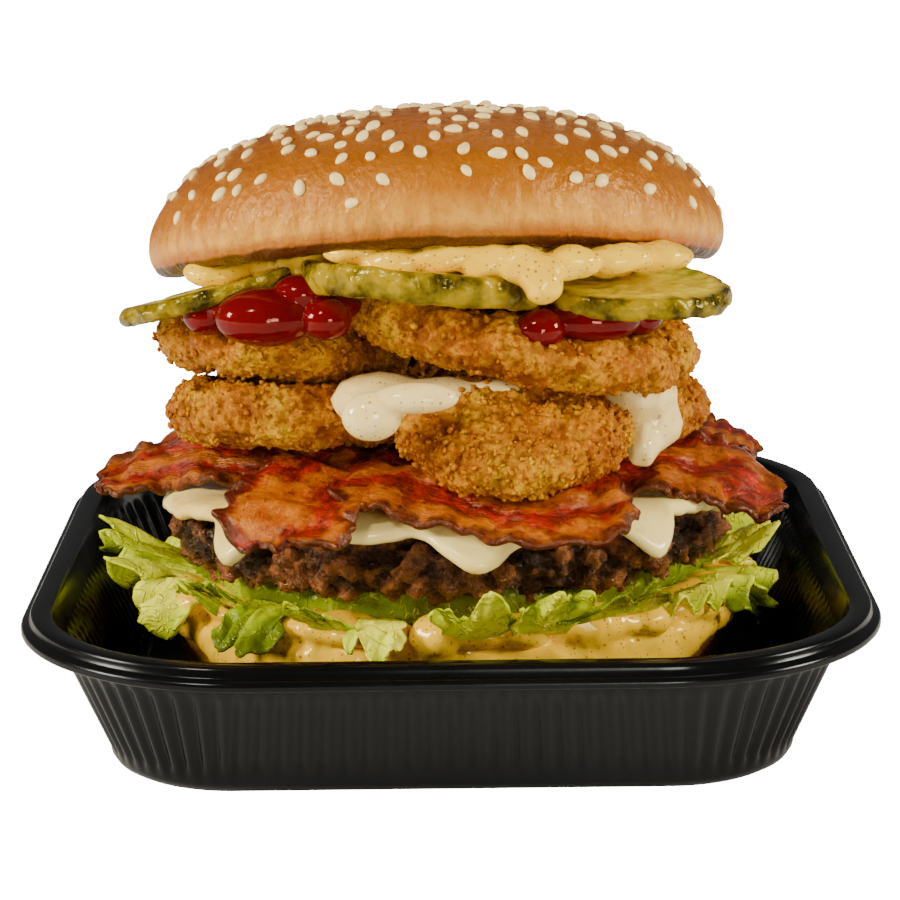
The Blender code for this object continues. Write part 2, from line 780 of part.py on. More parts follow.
def main():
    clear_scene()
    group = collection("burger_in_tray")
    cutters = collection("cutters")
    cutters.hide_render = True

    black = material("black_tray", (0.012, 0.012, 0.013), 0.35)
    crust = material("bun_crust", (0.62, 0.27, 0.07), 0.42)
    house_sauce = material("burger_sauce", (0.80, 0.47, 0.16), 0.25)
    leaf = material("lettuce_leaf", (0.33, 0.52, 0.07), 0.40)
    beef = material("seared_beef", (0.10, 0.040, 0.020), 0.45)
    cheese = material("melted_cheese", (0.85, 0.72, 0.42), 0.30)
    cured = material("fried_bacon", (0.36, 0.055, 0.018), 0.30)
    breading = material("golden_breading", (0.72, 0.33, 0.05), 0.55)
    pickled = material("pickle", (0.38, 0.36, 0.03), 0.25)
    tomato = material("ketchup", (0.36, 0.008, 0.004), 0.12)
    garlic = material("garlic_mayonnaise", (0.86, 0.76, 0.58), 0.18)

    make_tray(group, black)
    heel = make_heel(group, crust)
    crown = make_crown(group, crust)

    lower_sauce = carve(make_lower_sauce(group, house_sauce), [heel], cutters)
    patty = make_patty(group, beef)
    melted = carve(make_cheese(group, cheese), [patty], cutters)
    carve(make_lettuce(group, leaf), [patty, lower_sauce, heel, melted], cutters)

    rashers = [
        make_bacon(
            "bacon_left",
            ((-0.0700, -0.0100, 0.0446), (-0.0580, -0.0080, 0.0478), (-0.0440, -0.0120, 0.0500),
             (-0.0280, -0.0160, 0.0490), (-0.0120, -0.0180, 0.0480)),
            0.0225, (16, 20, 14, 6, 0), group, cured, 0.0009, 1.0,
        ),
        make_bacon(
            "bacon_front_left",
            ((-0.0330, -0.0640, 0.0470), (-0.0290, -0.0540, 0.0505),
             (-0.0230, -0.0400, 0.0530), (-0.0200, -0.0300, 0.0530)),
            0.026, (0, 0, 4, 4), group, cured, 0.0008, 2.0,
        ),
        make_bacon(
            "bacon_front_centre",
            ((-0.0060, -0.0500, 0.0520), (0.0080, -0.0520, 0.0500),
             (0.0220, -0.0540, 0.0500), (0.0360, -0.0500, 0.0525)),
            0.024, (18, 20, 20, 20), group, cured, 0.0008, 3.0,
        ),
        make_bacon(
            "bacon_right",
            ((0.0200, -0.0240, 0.0492), (0.0380, -0.0220, 0.0490),
             (0.0540, -0.0200, 0.0480), (0.0660, -0.0200, 0.0440)),
            0.025, (8, 12, 16, 16), group, cured, 0.0009, 4.0,
        ),
        make_bacon(
            "bacon_back",
            ((0.0650, 0.0240, 0.0412), (0.0560, 0.0260, 0.0452), (0.0400, 0.0300, 0.0448), (0.0160, 0.0350, 0.0436),
             (-0.0100, 0.0370, 0.0436), (-0.0340, 0.0360, 0.0438), (-0.0520, 0.0330, 0.0444), (-0.0640, 0.0300, 0.0412)),
            0.023, (4, 0, -4, -4, -4, -4, 0, 6), group, cured, 0.0009, 5.0,
        ),
    ]
    for rasher in rashers:
        carve(rasher, [melted], cutters, 2 * GAP)

    lower_left = make_ring("onion_ring_lower_left", (-0.0305, -0.0150, 0.0612), (0.0250, 0.0300), 0.16, 0.0, group, breading, 1.0)
    lower_right = make_ring("onion_ring_lower_right", (0.0240, -0.0010, 0.0590), (0.0285, 0.0280), 0.12, -0.04, group, breading, 2.0)
    lower_back = make_ring("onion_ring_lower_back", (-0.0060, 0.0385, 0.0540), (0.0340, 0.0185), 0.12, 0.0, group, breading, 3.0)
    torn = make_torn_ring_piece("onion_ring_lower_front", group, breading)
    upper_left = make_ring("onion_ring_upper_left", (-0.0330, -0.0080, 0.0722), (0.0245, 0.0335), 0.19, -0.12, group, breading, 4.0)
    upper_right = make_ring("onion_ring_upper_right", (0.0130, -0.0205, 0.0785), (0.0360, 0.0360), 0.02, -0.18, group, breading, 5.0)
    upper_back = make_ring("onion_ring_upper_back", (0.0020, 0.0390, 0.0672), (0.0340, 0.0175), 0.15, 0.0, group, breading, 6.0)

    pickle_left = make_pickle("pickle_left", (-0.0420, -0.0220, 0.0868), 0.0215, 0.06, 0.19, group, pickled, 1.0)
    pickle_centre = make_pickle("pickle_centre", (-0.0050, -0.0380, 0.0905), 0.0222, 0.07, -0.06, group, pickled, 2.0)
    pickle_right = make_pickle("pickle_right", (0.0340, -0.0360, 0.0880), 0.0192, -0.06, -0.03, group, pickled, 3.0)
    pickle_back = make_pickle("pickle_back", (0.0020, 0.0360, 0.0772), 0.0220, 0.17, 0.0, group, pickled, 4.0)

    sauce_front = make_blobs("white_sauce_front", SAUCE_FRONT, group, garlic)
    sauce_right = make_blobs("white_sauce_right", SAUCE_RIGHT, group, garlic)
    red_left = make_blobs("ketchup_left", KETCHUP_LEFT, group, tomato)
    red_right = make_blobs("ketchup_right", KETCHUP_RIGHT, group, tomato)

    carve(torn, rashers + [lower_right], cutters)
    carve(lower_left, rashers + [torn, upper_left, upper_right], cutters)
    carve(lower_right, rashers + [lower_left, upper_right], cutters)
    carve(lower_back, rashers + [lower_left, lower_right, upper_back], cutters)
    carve(upper_left, [upper_right, pickle_left], cutters)
    carve(upper_right, [pickle_centre, pickle_right], cutters)
    carve(upper_back, [upper_left, upper_right], cutters)
    carve(pickle_left, [crown, pickle_centre], cutters)
    carve(pickle_centre, [pickle_right, crown], cutters)
    carve(pickle_right, [crown], cutters)
    carve(pickle_back, [crown, upper_back, upper_left, upper_right], cutters)

    rings = [lower_left, lower_right, lower_back, torn, upper_left, upper_right, upper_back]
    pickles = [pickle_left, pickle_centre, pickle_right, pickle_back]
    carve(sauce_front, [lower_left, torn, upper_left, upper_right], cutters)
    carve(sauce_right, [lower_right, torn, upper_right] + rashers, cutters)
    carve(red_left, [upper_left, upper_right, pickle_left, pickle_centre], cutters)
    carve(red_right, [upper_right, pickle_centre, pickle_right], cutters)
    everything = [crown] + pickles + [upper_left, upper_right, upper_back, red_left, red_right]
    carve(make_upper_sauce(group, house_sauce), everything, cutters)


main()
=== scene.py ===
"""A tall bacon and onion ring burger in an open takeaway tray.

Each operator makes one piece, or one group of like pieces, around the frame's solids.
"""

import math
import random

import bpy
from bpy.props import FloatProperty, FloatVectorProperty, IntProperty, PointerProperty
from mathutils import Euler, Matrix, Vector, noise


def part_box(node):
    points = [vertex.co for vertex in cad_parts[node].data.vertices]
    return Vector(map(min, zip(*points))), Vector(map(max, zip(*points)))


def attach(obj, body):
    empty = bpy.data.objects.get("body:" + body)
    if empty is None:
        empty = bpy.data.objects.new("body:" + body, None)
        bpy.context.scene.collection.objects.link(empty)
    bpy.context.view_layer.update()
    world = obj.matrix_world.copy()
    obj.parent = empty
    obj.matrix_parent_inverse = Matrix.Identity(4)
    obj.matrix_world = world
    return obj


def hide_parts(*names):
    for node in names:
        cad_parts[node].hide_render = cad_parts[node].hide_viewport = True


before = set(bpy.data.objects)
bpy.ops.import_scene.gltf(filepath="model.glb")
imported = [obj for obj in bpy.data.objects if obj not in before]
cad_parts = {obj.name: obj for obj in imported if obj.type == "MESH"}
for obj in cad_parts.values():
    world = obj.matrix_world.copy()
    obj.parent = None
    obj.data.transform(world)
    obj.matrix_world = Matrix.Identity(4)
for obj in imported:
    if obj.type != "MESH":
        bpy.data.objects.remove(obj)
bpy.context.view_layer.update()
MERGE_DISTANCE = 0.000002

bl_info = {
    "name": "Burger in a takeaway tray", "version": (1, 0, 0), "blender": (4, 5, 0),
    "location": "View3D > Sidebar > Burger",
    "description": "Builds a stacked burger and its tray around the packed frame",
    "category": "Add Mesh"
}

TRAY_LOW, TRAY_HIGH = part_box("tray")
CROWN_LOW, CROWN_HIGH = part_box("bun_crown")
HEEL_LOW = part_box("bun_heel")[0]


# ---------------------------------------------------------------- sizes and colours


def length(name, description, default):
    return FloatProperty(
        name=name, description=description, default=default, min=0.0, subtype="DISTANCE",
        unit="LENGTH"
    )


def colour(name, description, default):
    return FloatVectorProperty(
        name=name, description=description, default=default, min=0.0, max=1.0, size=3,
        subtype="COLOR"
    )


def number(name, description, default):
    return IntProperty(name=name, description=description, default=default, min=0)


class BurgerSizes(bpy.types.PropertyGroup):
    rib_pitch: length("Rib pitch", "Distance from one tray rib to the next", 0.0039)
    rib_depth: length("Rib depth", "How far each tray rib stands out", 0.0012)
    seed_length: length("Seed length", "Length of a sesame seed", 0.0034)
    seed_count: number("Seeds", "Sesame seeds on the crown", 300)
    crumb_size: length("Crumb size", "Typical size of a breading crumb", 0.0012)
    crumb_count: number("Crumbs", "Loose crumbs on each onion ring", 950)
    leaf_count: number("Lettuce shreds", "Shreds of lettuce behind the patty", 26)
    rasher_thickness: length("Rasher thickness", "Thickness of the fried bacon", 0.0013)
    nodule_size: length("Mince nodules", "Size of the patty's larger lumps", 0.0042)


class BurgerColours(bpy.types.PropertyGroup):
    plastic: colour("Tray", "Black plastic of the tray", (0.0022, 0.0022, 0.0023))
    crust_top: colour("Crust, top", "Baked top of the bun", (0.28, 0.078, 0.0001))
    crust_side: colour("Crust, side", "Tan side of the bun", (0.42, 0.134, 0.0020))
    crust_pale: colour("Crust, pale", "Palest band of the bun", (0.72, 0.34, 0.040))
    seed: colour("Seeds", "Sesame seeds", (1.0, 0.80, 0.36))
    house_sauce: colour("Burger sauce", "Yellow-beige sauce", (1.0, 0.62, 0.016))
    garlic_sauce: colour("White sauce", "Ivory sauce", (1.0, 0.80, 0.33))
    ketchup: colour("Ketchup", "Red sauce", (0.13, 0.0010, 0.0010))
    rind: colour("Pickle rind", "Outer skin of a pickle slice", (0.16, 0.110, 0.0003))
    pickle: colour("Pickle face", "Cut face of a pickle slice", (0.84, 0.70, 0.030))
    breading: colour("Breading", "Golden crumb", (0.48, 0.150, 0.0001))
    bacon_meat: colour("Bacon meat", "Red-brown meat", (0.22, 0.0060, 0.0020))
    bacon_fat: colour("Bacon fat", "Amber fried fat", (0.42, 0.082, 0.0006))
    cheese: colour("Cheese", "Pale melted cheese", (1.0, 0.83, 0.30))
    beef: colour("Beef", "Seared mince", (0.190, 0.060, 0.016))
    leaf: colour("Lettuce", "Green of the leaf", (0.24, 0.34, 0.0004))
    leaf_rib: colour("Lettuce rib", "Pale inner leaf", (0.96, 0.96, 0.060))
    floor: colour("Floor", "Pale studio floor", (0.95, 0.95, 0.95))


def sizes():
    return bpy.context.scene.burger_sizes


def colours():
    return bpy.context.scene.burger_colours


# ---------------------------------------------------------------- modelling helpers


def select_only(*pieces):
    bpy.ops.object.select_all(action="DESELECT")
    for piece in pieces:
        piece.select_set(True)
    bpy.context.view_layer.objects.active = pieces[0]


def added(add, **settings):
    """The object that this operator adds, selected alone."""
    bpy.ops.object.select_all(action="DESELECT")
    add(**settings)
    return bpy.context.object


def named(piece, name):
    piece.name = name
    piece.data.name = name
    return piece


def modified(piece, kind, **settings):
    """Gives a piece one modifier with these settings, and applies it."""
    modifier = piece.modifiers.new(kind.lower(), kind)
    for key, value in settings.items():
        setattr(modifier, key, value)
    select_only(piece)
    bpy.ops.object.modifier_apply(modifier=modifier.name)
    return piece


def edit(piece, *steps):
    """Runs these edit mode steps with the whole piece selected."""
    select_only(piece)
    bpy.ops.object.mode_set(mode="EDIT")
    bpy.ops.mesh.select_all(action="SELECT")
    for step in steps:
        step()
    bpy.ops.object.mode_set(mode="OBJECT")
    return piece


def merged(piece):
    return edit(
        piece, lambda: bpy.ops.mesh.remove_doubles(threshold=MERGE_DISTANCE),
        lambda: bpy.ops.mesh.normals_make_consistent(inside=False)
    )


def reshape(piece, move):
    """Moves each vertex of a piece by a function of its place."""
    for vertex in piece.data.vertices:
        vertex.co = move(vertex.co.copy())
    piece.data.update()
    return piece


def layer_on(piece, name):
    """A new layer of numbers on the vertices of a piece, for the materials to read."""
    return piece.data.attributes.new(name, "FLOAT", "POINT")


def mark(piece, name, value):
    layer = layer_on(piece, name)
    for vertex in piece.data.vertices:
        layer.data[vertex.index].value = value(vertex.co)
    return piece


def sheet_grid(name, along, across):
    """A flat grid from -0.5 to 0.5, ready to be shaped."""
    cells = {"x_subdivisions": along, "y_subdivisions": across}
    return named(added(bpy.ops.mesh.primitive_grid_add, size=1.0, **cells), name)


def rolled(name, columns, levels, place, **marks):
    """A grid rolled up into a closed form, with marks on its vertices.

    The place and each mark are functions of a turn and a level, both from 0 to 1.
    """
    piece = sheet_grid(name, columns, levels)
    kept = {}
    layers = {key: layer_on(piece, key) for key in marks}
    for vertex in piece.data.vertices:
        turn = vertex.co.x + 0.5
        level = vertex.co.y + 0.5
        if turn > 0.9999:
            turn = 0.0
        for key, layer in layers.items():
            layer.data[vertex.index].value = marks[key](turn, level)
        place_key = (round(turn, 5), round(level, 5))
        if place_key not in kept:
            kept[place_key] = place(turn, level)
        vertex.co = kept[place_key]
    piece.data.update()
    return merged(piece)


def copy_of(node, name):
    """A loose copy of a frame solid, merged, for remodelling."""
    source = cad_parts[node]
    piece = source.copy()
    piece.data = source.data.copy()
    named(piece, name)
    bpy.context.scene.collection.objects.link(piece)
    piece.parent = None
    piece.hide_render = False
    piece.hide_viewport = False
    for key in list(piece.keys()):
        del piece[key]
    piece.data.materials.clear()
    return merged(piece)


def joined(name, pieces):
    select_only(*pieces)
    if len(pieces) > 1:
        bpy.ops.object.join()
    return named(bpy.context.view_layer.objects.active, name)


def remeshed(piece, voxel, soften):
    """Rebuilds the skin of a piece in even quads, then softens it."""
    modified(piece, "REMESH", mode="VOXEL", voxel_size=voxel, use_smooth_shade=True)
    return modified(piece, "SMOOTH", factor=0.5, iterations=soften)


def roughened(piece, kind, size, strength, middle=0.5):
    """Displaces a piece along its normals by a procedural texture of this grain."""
    texture = bpy.data.textures.new(piece.name + "_" + kind.lower(), kind)
    texture.noise_scale = size
    if kind == "CLOUDS":
        texture.noise_depth = 2
    push = {"texture": texture, "texture_coords": "LOCAL"}
    return modified(piece, "DISPLACE", strength=strength, mid_level=middle, **push)


def swollen(piece, by):
    """Pushes the whole skin outwards by this much."""
    return modified(piece, "DISPLACE", strength=by, mid_level=0.0)


def thickened(piece, thickness):
    return modified(piece, "SOLIDIFY", thickness=thickness, offset=0.0)


def subdivided(piece, levels):
    return modified(piece, "SUBSURF", levels=levels, render_levels=levels)


def drawn_in(piece, hold, slack):
    """Leaves this share of the distance by which a piece runs past this radius."""

    def held(point):
        radius = math.hypot(point.x, point.y)
        share = 1.0 if radius < hold else (hold + slack * (radius - hold)) / radius
        return Vector((point.x * share, point.y * share, point.z))

    return reshape(piece, held)


def skin_of(piece):
    """Each vertex's place and normal, kept before a piece is roughened."""
    return [(vertex.co.copy(), vertex.normal.copy()) for vertex in piece.data.vertices]


def mark_hollows(piece, skin, depth):
    """Marks 0 where roughening sank the skin by this depth, 1 where it raised it as much."""
    # The breading and mince materials paint shade in the hollows by this mark.
    layer = layer_on(piece, "hollow")
    for vertex, (place, normal) in zip(piece.data.vertices, skin):
        raised = (vertex.co - place).dot(normal)
        layer.data[vertex.index].value = 0.5 + 0.5 * raised / depth
    return piece


def settle(piece, surface, slot, *nodes):
    """Gives a finished piece its material and smooth shading, hangs it on the root body and hides
    the frame solids it stands for. The slot is not used.
    """
    piece.data.materials.clear()
    piece.data.materials.append(surface)
    select_only(piece)
    bpy.ops.object.shade_smooth()
    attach(piece, "root")
    if nodes:
        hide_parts(*nodes)
    return piece


def scatter(name, kinds, places):
    """Copies of the kinds, one for each matrix, joined into one piece."""
    copies = []
    for index, matrix in enumerate(places):
        kind = kinds[index % len(kinds)]
        copy = kind.copy()
        copy.data = kind.data.copy()
        copy.data.transform(matrix)
        bpy.context.scene.collection.objects.link(copy)
        copies.append(copy)
    piece = joined(name, copies)
    for kind in kinds:
        bpy.data.objects.remove(kind)
    return piece


def surface_points(piece, count, draw, wanted=None):
    """Random (point, normal) pairs, even by area, for which wanted(point, normal) holds."""
    mesh = piece.data
    mesh.calc_loop_triangles()
    triangles = list(mesh.loop_triangles)
    weights = []
    total = 0.0
    for triangle in triangles:
        total += triangle.area
        weights.append(total)
    found = []
    tries = 0
    while len(found) < count and tries < 30 * count:
        tries += 1
        triangle = draw.choices(triangles, cum_weights=weights)[0]
        a, b, c = (mesh.vertices[i].co for i in triangle.vertices)
        u, v = draw.random(), draw.random()
        if u + v > 1:
            u, v = 1 - u, 1 - v
        point = a + (b - a) * u + (c - a) * v
        if wanted is None or wanted(point, triangle.normal):
            found.append((point, triangle.normal.copy()))
    return found


def standing(point, normal, spin, scale):
    """A matrix that stands a shape on a surface: scaled, turned by spin, its Z on the normal."""
    turn = Vector((0, 0, 1)).rotation_difference(normal).to_matrix().to_4x4()
    return (
        Matrix.Translation(point)
        @ turn
        @ Matrix.Rotation(spin, 4, "Z")
        @ Matrix.Diagonal((*scale, 1.0))
    )


def on_curve(points, share):
    """A point of the smooth curve through these points, with share from 0 to 1."""
    place = min(max(share, 0.0), 1.0) * (len(points) - 1)
    first = min(int(place), len(points) - 2)
    t = place - first
    a = Vector(points[max(0, first - 1)])
    b = Vector(points[first])
    c = Vector(points[first + 1])
    d = Vector(points[min(len(points) - 1, first + 2)])
    return 0.5 * (
        2 * b + (c - a) * t + (
            2 * a - 5 * b + 4 * c - d
        ) * t * t + (3 * b - a - 3 * c + d) * t * t * t
    )


def blend(low, high, value):
    """0 below low, 1 above high, and smooth between."""
    share = min(1.0, max(0.0, (value - low) / (high - low)))
    return share * share * (3 - 2 * share)


def heading(angle):
    """The level direction at this angle."""
    return Vector((math.cos(angle), math.sin(angle), 0.0))


def noise_at(x, y, z):
    return noise.noise(Vector((x, y, z)))


def lumps(point, size, seed):
    """Smooth noise from -1 to 1, with lumps of about this size."""
    return noise.noise(Vector(point) / size + Vector((seed, seed * 1.7, -seed)))


# ---------------------------------------------------------------- material helpers


def put(tree, kind, sockets=None, **settings):
    """Adds a shader node. A socket is linked if its value is another socket, and set otherwise."""
    made = tree.nodes.new(kind)
    for key, value in settings.items():
        setattr(made, key, value)
    for key, value in (sockets or {}).items():
        if isinstance(value, bpy.types.NodeSocket):
            tree.links.new(value, made.inputs[key])
        else:
            made.inputs[key].default_value = value
    return made


def shaded(tint, factors):
    """A colour with each channel multiplied by a factor, up to full brightness."""
    return tuple(min(1.0, channel * factor) for channel, factor in zip(tint, factors))


def marked(place, name):
    return put(place.id_data, "ShaderNodeAttribute", attribute_name=name).outputs["Fac"]


def noise_of(vector, scale, detail=4.0, rough=0.55, distortion=0.0):
    sockets = {"Vector": vector, "Scale": scale, "Detail": detail, "Roughness": rough}
    sockets["Distortion"] = distortion
    return put(vector.id_data, "ShaderNodeTexNoise", sockets).outputs["Fac"]


def cells_of(vector, scale, feature="F1"):
    sockets = {"Vector": vector, "Scale": scale}
    return put(vector.id_data, "ShaderNodeTexVoronoi", sockets, feature=feature).outputs["Distance"]


def ramp(value, *stops):
    """Turns a value into a colour or a grey, through (place, colour or grey) stops."""
    made = put(value.id_data, "ShaderNodeValToRGB", {"Fac": value})
    elements = made.color_ramp.elements
    while len(elements) < len(stops):
        elements.new(1.0)
    for element, (place, shade) in zip(elements, stops):
        element.position = place
        if not hasattr(shade, "__len__"):
            shade = (shade, shade, shade)
        element.color = (*shade, 1.0)
    return made.outputs["Color"]


def mixed(share, first, second):
    """The first colour, with this share of the second in it. The numbers are the colour sockets."""
    made = put(share.id_data, "ShaderNodeMix", {0: share}, data_type="RGBA")
    for index, value in ((6, first), (7, second)):
        if isinstance(value, bpy.types.NodeSocket):
            made.id_data.links.new(value, made.inputs[index])
        else:
            made.inputs[index].default_value = (*value, 1.0)
    return made.outputs[2]


def sums(operation, first, second):
    sockets = {0: first, 1: second}
    return put(first.id_data, "ShaderNodeMath", sockets, operation=operation).outputs[0]


def times(first, second):
    return sums("MULTIPLY", first, second)


def plus(first, second):
    return sums("ADD", first, second)


def drift_of(reach, vector, scale, detail=4.0, rough=0.55):
    """Noise on both sides of zero, reach from end to end."""
    return times(sums("SUBTRACT", noise_of(vector, scale, detail, rough), 0.5), reach)


def bumped(height, distance, strength):
    sockets = {"Height": height, "Distance": distance, "Strength": strength}
    return put(height.id_data, "ShaderNodeBump", sockets).outputs["Normal"]


def stretched(vector, scale):
    sockets = {"Vector": vector, "Scale": scale}
    return put(vector.id_data, "ShaderNodeMapping", sockets).outputs["Vector"]


def new_material(name, **uniform):
    """A Principled material with these even values, and the socket that gives each place."""
    made = bpy.data.materials.new(name)
    made.use_nodes = True
    shader = made.node_tree.nodes["Principled BSDF"]
    for key, value in uniform.items():
        if key.endswith("tint"):
            value = (*value, 1.0)
        shader.inputs[key.replace("_", " ").title().replace("Ior", "IOR")].default_value = value
    return made, put(made.node_tree, "ShaderNodeTexCoord").outputs["Object"]


def wired(made, **outputs):
    """Links these outputs to the shader's sockets of the same names."""
    shader = made.node_tree.nodes["Principled BSDF"]
    for key, value in outputs.items():
        made.node_tree.links.new(value, shader.inputs[key.replace("_", " ").title()])
    return made


def effect(fill, vector, **values):
    """The output of a node group with these inputs, which fill wires up on its first use."""
    group = bpy.data.node_groups.get(fill.__name__)
    if not group:
        group = bpy.data.node_groups.new(fill.__name__, "ShaderNodeTree")
        sockets = group.interface
        sockets.new_socket("Vector", in_out="INPUT", socket_type="NodeSocketVector")
        for label in values:
            sockets.new_socket(label, in_out="INPUT", socket_type="NodeSocketFloat")
        sockets.new_socket("Result", in_out="OUTPUT", socket_type="NodeSocketFloat")
        result = fill(group, put(group, "NodeGroupInput").outputs)
        put(group, "NodeGroupOutput", {"Result": result})
    sockets = {"Vector": vector, **values}
    return put(vector.id_data, "ShaderNodeGroup", sockets, node_tree=group).outputs["Result"]


def ground_spice(group, given):
    """A mask of sparse round specks."""
    cells = put(group, "ShaderNodeTexVoronoi", {"Vector": given["Vector"], "Scale": given["Scale"]})
    chosen = put(group, "ShaderNodeSeparateColor", {"Color": cells.outputs["Color"]}).outputs["Red"]
    present = sums("LESS_THAN", chosen, given["Amount"])
    return times(present, sums("LESS_THAN", cells.outputs["Distance"], given["Radius"]))


def specks(vector, scale, radius, amount):
    return effect(ground_spice, vector, Scale=scale, Radius=radius, Amount=amount)


def moist_patches(group, given):
    """Uneven moisture: a roughness that changes in soft patches."""
    patches = noise_of(given["Vector"], given["Scale"], 3.0, 0.5)
    spread = {"Value": patches, "From Min": 0.38, "From Max": 0.62}
    spread.update({"To Min": given["Wet"], "To Max": given["Dry"]})
    return put(group, "ShaderNodeMapRange", spread).outputs["Result"]


def moist(vector, scale, wet, dry):
    return effect(moist_patches, vector, Scale=scale, Wet=wet, Dry=dry)


# ---------------------------------------------------------------- materials


def tray_plastic():
    made, place = new_material(
        "black_polypropylene", specular_ior_level=0.20, specular_tint=(0.84, 0.92, 1.0)
    )
    tone = ramp(
        noise_of(place, 60.0), (0.3, shaded(colours().plastic, (0.8, 0.8, 0.8))),
        (0.7, shaded(colours().plastic, (1.5, 1.5, 1.5)))
    )
    scuffs = noise_of(stretched(place, (1.0, 1.0, 0.15)), 700.0, 3.0)
    return wired(
        made, base_color=tone, roughness=moist(place, 40.0, 0.14, 0.26),
        normal=bumped(scuffs, 0.00003, 0.35)
    )


def crust_material(name):
    """Baked crust: pale at its cut edge, tan above it and golden brown on top."""
    made, place = new_material(name, specular_ior_level=0.55, specular_tint=(1.0, 0.72, 0.34))
    tint = colours()
    drift = drift_of(0.40, place, 34.0, 5.0, 0.6)
    height = plus(marked(place, "rise"), drift)
    base = ramp(
        height, (0.0, shaded(tint.crust_side, (0.86, 0.74, 0.6))), (0.16, tint.crust_pale),
        (0.34, tint.crust_side), (0.62, tint.crust_top),
        (1.0, shaded(tint.crust_top, (0.92, 0.82, 0.7)))
    )
    streaks = noise_of(stretched(place, (1.0, 1.0, 0.35)), 330.0, 5.0, 0.6)
    streaked = mixed(
        ramp(streaks, (0.42, 0.0), (0.62, 0.45)), base, shaded(tint.crust_side, (0.78, 0.62, 0.45))
    )
    edge = plus(marked(place, "rise"), times(drift, 0.14))
    toast = ramp(edge, (0.0, 1.0), (0.095, 0.75), (0.150, 0.0))
    toasted = mixed(times(toast, 0.80), streaked, (0.36, 0.085, 0.006))
    burnt = ramp(edge, (0.0, 1.0), (0.058, 1.0), (0.076, 0.0))
    charred = mixed(times(burnt, 0.92), toasted, (0.045, 0.010, 0.0015))
    freckles = specks(place, 520.0, 0.22, 0.25)
    surface = mixed(times(freckles, 0.25), charred, (0.26, 0.065, 0.004))
    fine = noise_of(place, 1500.0, 3.0, 0.6)
    pores = cells_of(place, 620.0)
    relief = plus(times(fine, 0.6), times(pores, 0.9))
    relief = plus(relief, times(streaks, 2.2))
    return wired(
        made, base_color=surface, roughness=moist(place, 220.0, 0.24, 0.42),
        normal=bumped(relief, 0.00034, 0.8)
    )


def seed_material():
    made, place = new_material("sesame_seed", roughness=0.34)
    base = ramp(
        noise_of(place, 210.0, 2.0), (0.30, shaded(colours().seed, (0.92, 0.80, 0.62))),
        (0.65, colours().seed)
    )
    return wired(made, base_color=base, normal=bumped(noise_of(place, 2600.0, 2.0), 0.00006, 0.4))


def sauce_material(name, tint, speck_tint, amount, roughness, shine, shine_tint):
    """Thick glossy sauce with ground spice in it."""
    made, place = new_material(name, specular_ior_level=shine, specular_tint=shine_tint)
    base = ramp(noise_of(place, 150.0, 3.0), (0.32, shaded(tint, (0.93, 0.84, 0.70))), (0.66, tint))
    small = specks(place, 1250.0, 0.26, amount)
    large = specks(place, 620.0, 0.20, 0.6 * amount)
    mask = sums("MAXIMUM", small, large)
    spotted = mixed(times(mask, 0.75), base, speck_tint)
    return wired(
        made, base_color=spotted, roughness=moist(place, 260.0, 0.7 * roughness, 1.9 * roughness),
        normal=bumped(noise_of(place, 420.0, 3.0), 0.00012, 0.35)
    )


def pickle_material():
    """A pickle slice: seed pockets and a wet pale face inside a dark bumpy rind."""
    made, place = new_material(
        "pickled_cucumber", specular_ior_level=0.40, specular_tint=(1.0, 0.90, 0.30)
    )
    tint = colours()
    pockets = cells_of(stretched(place, (1.0, 1.0, 0.4)), 250.0)
    pips = ramp(pockets, (0.20, 1.0), (0.42, 0.0))
    core = mixed(pips, tint.pickle, shaded(tint.pickle, (1.15, 1.2, 2.2)))
    flesh = mixed(
        ramp(noise_of(place, 160.0, 4.0), (0.4, 0.0), (0.7, 0.6)), core,
        shaded(tint.pickle, (0.70, 0.78, 0.4))
    )
    rind = ramp(
        noise_of(place, 150.0, 4.0, 0.6), (0.38, shaded(tint.rind, (0.22, 0.22, 0.22))),
        (0.48, tint.rind), (0.60, shaded(tint.rind, (2.1, 2.0, 1.4)))
    )
    at_rim = ramp(marked(place, "rim"), (0.82, 0.0), (0.96, 1.0))
    relief = plus(noise_of(place, 520.0, 4.0), times(pips, 0.4))
    return wired(
        made, base_color=mixed(at_rim, flesh, rind), roughness=moist(place, 300.0, 0.08, 0.24),
        normal=bumped(relief, 0.0004, 0.7)
    )


def breading_material():
    """Fried crumb: golden, yellower in some patches and browner in others, with painted glints on
    its grains and painted shade in its hollows and under its loose crumbs.
    """
    made, place = new_material(
        "fried_breading", specular_ior_level=0.40, specular_tint=(1.0, 0.62, 0.20)
    )
    tint = colours().breading
    patches = ramp(
        noise_of(place, 75.0, 4.0, 0.6), (0.34, shaded(tint, (0.66, 0.46, 0.4))), (0.46, tint),
        (0.56, shaded(tint, (1.12, 1.45, 1.6))), (0.66, shaded(tint, (1.30, 2.25, 4.0)))
    )
    grains = noise_of(place, 900.0, 4.0, 0.7)
    crumbs = mixed(
        ramp(grains, (0.40, 0.85), (0.50, 0.0)), patches, shaded(tint, (0.50, 0.30, 0.3))
    )
    # Painted highlight: pale glints on the brightest grains.
    light = mixed(ramp(grains, (0.56, 0.0), (0.66, 0.75)), crumbs, shaded(tint, (1.5, 2.8, 9.0)))
    # Painted shade: darker in the hollows of the breading and under its loose crumbs.
    hollow = ramp(marked(place, "hollow"), (0.18, 1.0), (0.52, 0.0))
    deep = mixed(times(hollow, 0.9), light, shaded(tint, (0.36, 0.22, 0.3)))
    return wired(
        made, base_color=deep, roughness=moist(place, 420.0, 0.22, 0.52),
        normal=bumped(noise_of(place, 1500.0, 4.0, 0.7), 0.0005, 0.9)
    )


